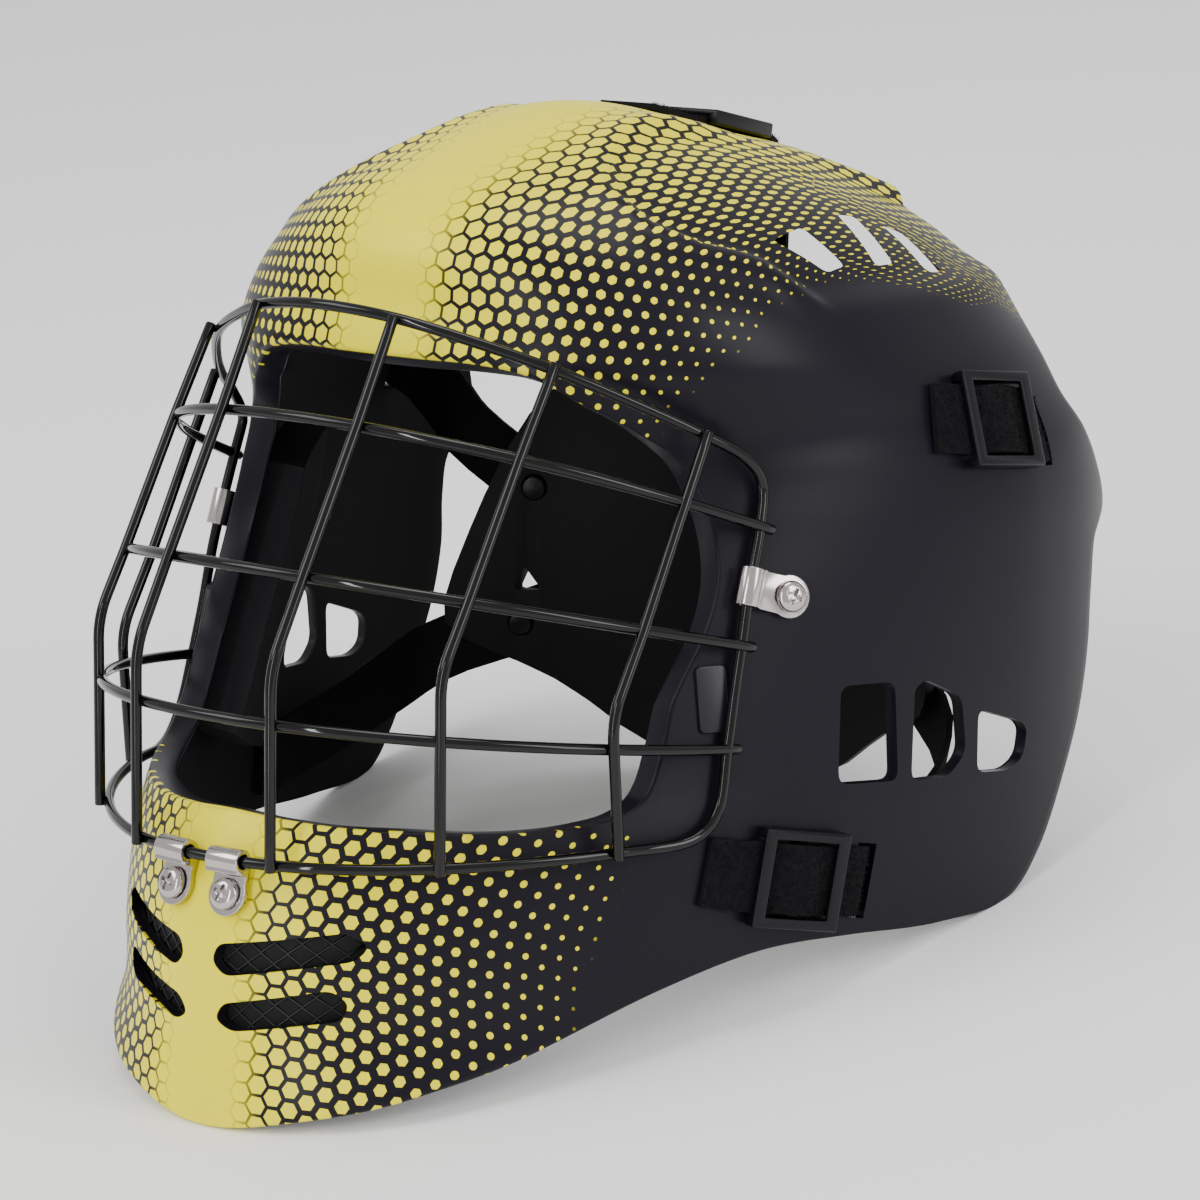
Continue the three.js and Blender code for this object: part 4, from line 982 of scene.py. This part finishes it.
# ---- pieces that keep the CAD shape, with rounded edges ----------------------
def refined(name, material, width, segments=2, angle=30):
    """A copy of a CAD piece with its flat faces whole and its edges rounded by width."""
    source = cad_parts[name]
    obj = bpy.data.objects.new(name + "_visual", source.data.copy())
    bpy.context.scene.collection.objects.link(obj)
    obj.data.materials.clear()
    obj.data.materials.append(material)
    weld = obj.modifiers.new("weld", "WELD")
    weld.merge_threshold = 1e-5
    dissolve = obj.modifiers.new("flat", "DECIMATE")
    dissolve.decimate_type = "DISSOLVE"
    dissolve.angle_limit = math.radians(1)
    apply_modifiers(obj)
    if width:
        bevel(obj, width, segments, angle)
    smooth_by_angle(obj, 40)
    return finish_piece(obj, [name])


def fuzz(strap, buckle, reach, count, seed):
    """Short fibres standing on the outer face of a strap round its buckle."""
    rng = np.random.default_rng(seed)
    low, high = (worn(np.array(end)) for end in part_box(buckle))
    middle = (low + high) / 2
    mesh = strap.data
    mesh.calc_loop_triangles()
    co = worn(np.array([v.co for v in mesh.vertices]))
    tris = np.array([t.vertices for t in mesh.loop_triangles])
    a, b, c = (co[tris[:, k]] for k in range(3))
    normal = np.cross(b - a, c - a)
    area = np.linalg.norm(normal, axis=-1)
    normal = normal / np.maximum(area, 1e-9)[:, None]
    centre = (a + b + c) / 3
    foot = on_shell(centre)
    outward = (normal * shell_normal(foot)).sum(-1) > 0.35
    weight = area * (outward & (np.linalg.norm(centre - middle, axis=-1) < reach))
    picked = rng.choice(len(tris), count, p=weight / weight.sum())
    u, v = rng.random(count), rng.random(count)
    swap = u + v > 1
    u, v = np.where(swap, 1 - u, u)[:, None], np.where(swap, 1 - v, v)[:, None]
    base = a[picked] * (1 - u - v) + b[picked] * u + c[picked] * v
    out = normal[picked]
    lean = rng.normal(size=(count, 3))
    lean -= out * (lean * out).sum(-1, keepdims=True)
    lean = unit(lean)
    half_thick, shortest, longest = 0.09, 0.5, 1.3
    side = np.cross(out, lean) * half_thick
    tall = rng.uniform(shortest, longest, (count, 1))
    bend = base + out * tall * 0.7 + lean * tall * 0.3
    tip = base + out * tall * 0.75 + lean * tall
    corners = [base - side, base + side, bend - side, bend + side, tip]
    verts = np.stack(corners, 1).reshape(-1, 3)
    faces = []
    for k in range(0, count * 5, 5):
        faces += [(k, k + 1, k + 3, k + 2), (k + 2, k + 3, k + 4)]
    hair = bpy.data.meshes.new(strap.name + "_fuzz")
    hair.from_pydata(rested(verts).tolist(), [], faces)
    hair.materials.append(WEBBING)
    obj = bpy.data.objects.new(strap.name + "_fuzz", hair)
    bpy.context.scene.collection.objects.link(obj)
    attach(obj, "root")


BANDS = ["lower_left", "lower_right", "upper_left", "upper_right", "crown"]
CLIPS = ["chin_left", "chin_right", "side_left", "side_right"]
for seed, band in enumerate(BANDS):
    strap = refined("strap_" + band, WEBBING, 0.5, 2, 50)
    fuzz(strap, "buckle_" + band, 30, 2600, seed)
    refined("buckle_" + band, BUCKLE, 0.6, 3)
    refined("rivet_" + band, BUCKLE, 0.3)
for clip in CLIPS:
    refined("clip_" + clip, NICKEL, 0.35, 3)
refined("mouth_screen", PLATE, 0)
for pad in ("brow_pad", "cheek_pad_left", "cheek_pad_right"):
    refined(pad, FOAM, 4.0, 4)
refined("back_plate", PLATE, 0.8, 3)


# ---- screws ------------------------------------------------------------------
def make_screw(name):
    """A pan-head screw with a cross recess, on the axis of the CAD screw."""
    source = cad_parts["screw_" + name]
    verts = worn(np.array([v.co for v in source.data.vertices]))
    weight = np.zeros((3, 3))
    for face in source.data.polygons:
        n = TO_REST.T @ np.array(face.normal)
        weight += face.area * np.outer(n, n)
    values, vectors = np.linalg.eigh(weight)
    odd = 0 if values[1] - values[0] > values[2] - values[1] else 2
    out = vectors[:, odd]
    if out.dot(verts.mean(0) - CENTRE) < 0:
        out = -out
    centre = verts.mean(0)
    tall = (verts - centre) @ out
    top, tip = tall.max(), tall.min()
    away = np.linalg.norm(verts - centre - tall[:, None] * out, axis=-1)
    radius = away.max()
    side = unit(np.cross(out, [0.3, 0.4, 0.86]))  # turns the cross recess
    up = np.cross(out, side)
    under, brim = top - HEAD_HEIGHT, top - HEAD_CROWN
    pull = 2.6  # of the head's outline inward at its top
    outline = [(0, tip), (SHANK_RADIUS, tip), (SHANK_RADIUS, under), (radius, under),
               (radius, brim)]
    outline += [(radius - pull * (1 - math.cos(a)), brim + HEAD_CROWN * math.sin(a))
                for a in np.linspace(0.15, math.pi / 2, 8)] + [(0, top)]
    sides = 40
    turn = 2 * np.pi * np.arange(sides) / sides
    ring = np.cos(turn)[:, None] * side + np.sin(turn)[:, None] * up
    rings = [centre + out * h + max(r, 1e-3) * ring for r, h in outline]
    verts, faces = np.concatenate(rings), skin_faces(len(rings), sides, False)
    screw = new_object(f"screw_{name}_visual", verts, faces, NICKEL)
    matrix = np.eye(4)
    matrix[:3] = np.stack([side, up, out, centre + out * top], 1)
    reach, width, deep = 5.0, 1.1, 2.4
    cut(screw, [block((reach, width, deep), matrix), block((width, reach, deep), matrix)])
    bevel(screw, 0.12, 2, 40)
    smooth_by_angle(screw, 35)
    finish_piece(screw, ["screw_" + name])


for clip in CLIPS:
    make_screw(clip)


# ---- stage -------------------------------------------------------------------
def make_stage():
    mesh = bpy.data.meshes.new("floor")
    reach = 6.0
    square = [(-reach, -reach, 0), (reach, -reach, 0), (reach, reach, 0), (-reach, reach, 0)]
    mesh.from_pydata(square, [], [(0, 1, 2, 3)])
    floor = bpy.data.objects.new("floor", mesh)
    mesh.materials.append(FLOOR)
    bpy.context.scene.collection.objects.link(floor)
    world = bpy.data.worlds.new("studio")
    world.use_nodes = True
    background = world.node_tree.nodes["Background"]
    background.inputs["Color"].default_value = (1, 1, 1, 1)
    background.inputs["Strength"].default_value = 0.85
    bpy.context.scene.world = world


def light(name, place, aim, width, height, power):
    """A soft box at place that points at a height over the middle of the floor."""
    data = bpy.data.lights.new(name, "AREA")
    data.energy = power
    data.shape = "RECTANGLE"
    data.size, data.size_y = width, height
    obj = bpy.data.objects.new(name, data)
    bpy.context.scene.collection.objects.link(obj)
    obj.location = place
    way = Vector((0, 0, aim)) - Vector(place)
    obj.rotation_euler = way.to_track_quat("-Z", "Y").to_euler()


CAMERA_AT = np.array([790.9, -974.2, 393.9])
CAMERA_RIGHT = np.array([0.79241, 0.60999, 0.0])
CAMERA_VIEW = np.array([-0.597, 0.776, -0.204])


def make_camera():
    right = unit(CAMERA_RIGHT)
    back = unit(-(CAMERA_VIEW - right * right.dot(CAMERA_VIEW)))
    up = np.cross(back, right)
    turn = TO_REST @ np.stack([right, up, back], 1)
    matrix = np.eye(4)
    matrix[:3, :3], matrix[:3, 3] = turn, rested(CAMERA_AT)
    data = bpy.data.cameras.new("camera")
    data.lens = 130.0
    data.sensor_width = 36.0
    data.clip_start = 0.05
    camera = bpy.data.objects.new("camera", data)
    bpy.context.scene.collection.objects.link(camera)
    camera.matrix_world = Matrix(matrix.tolist())
    bpy.context.scene.camera = camera


make_stage()
light("key", (-0.9, -1.1, 1.5), 0.12, 0.9, 0.9, 14)
light("side", (1.6, 0.1, 0.9), 0.12, 0.5, 1.2, 12)
light("top", (0.1, 0.3, 1.7), 0.1, 0.8, 0.8, 10)
light("strip", (0.3, -1.6, 0.7), 0.12, 0.1, 1.4, 10)
make_camera()
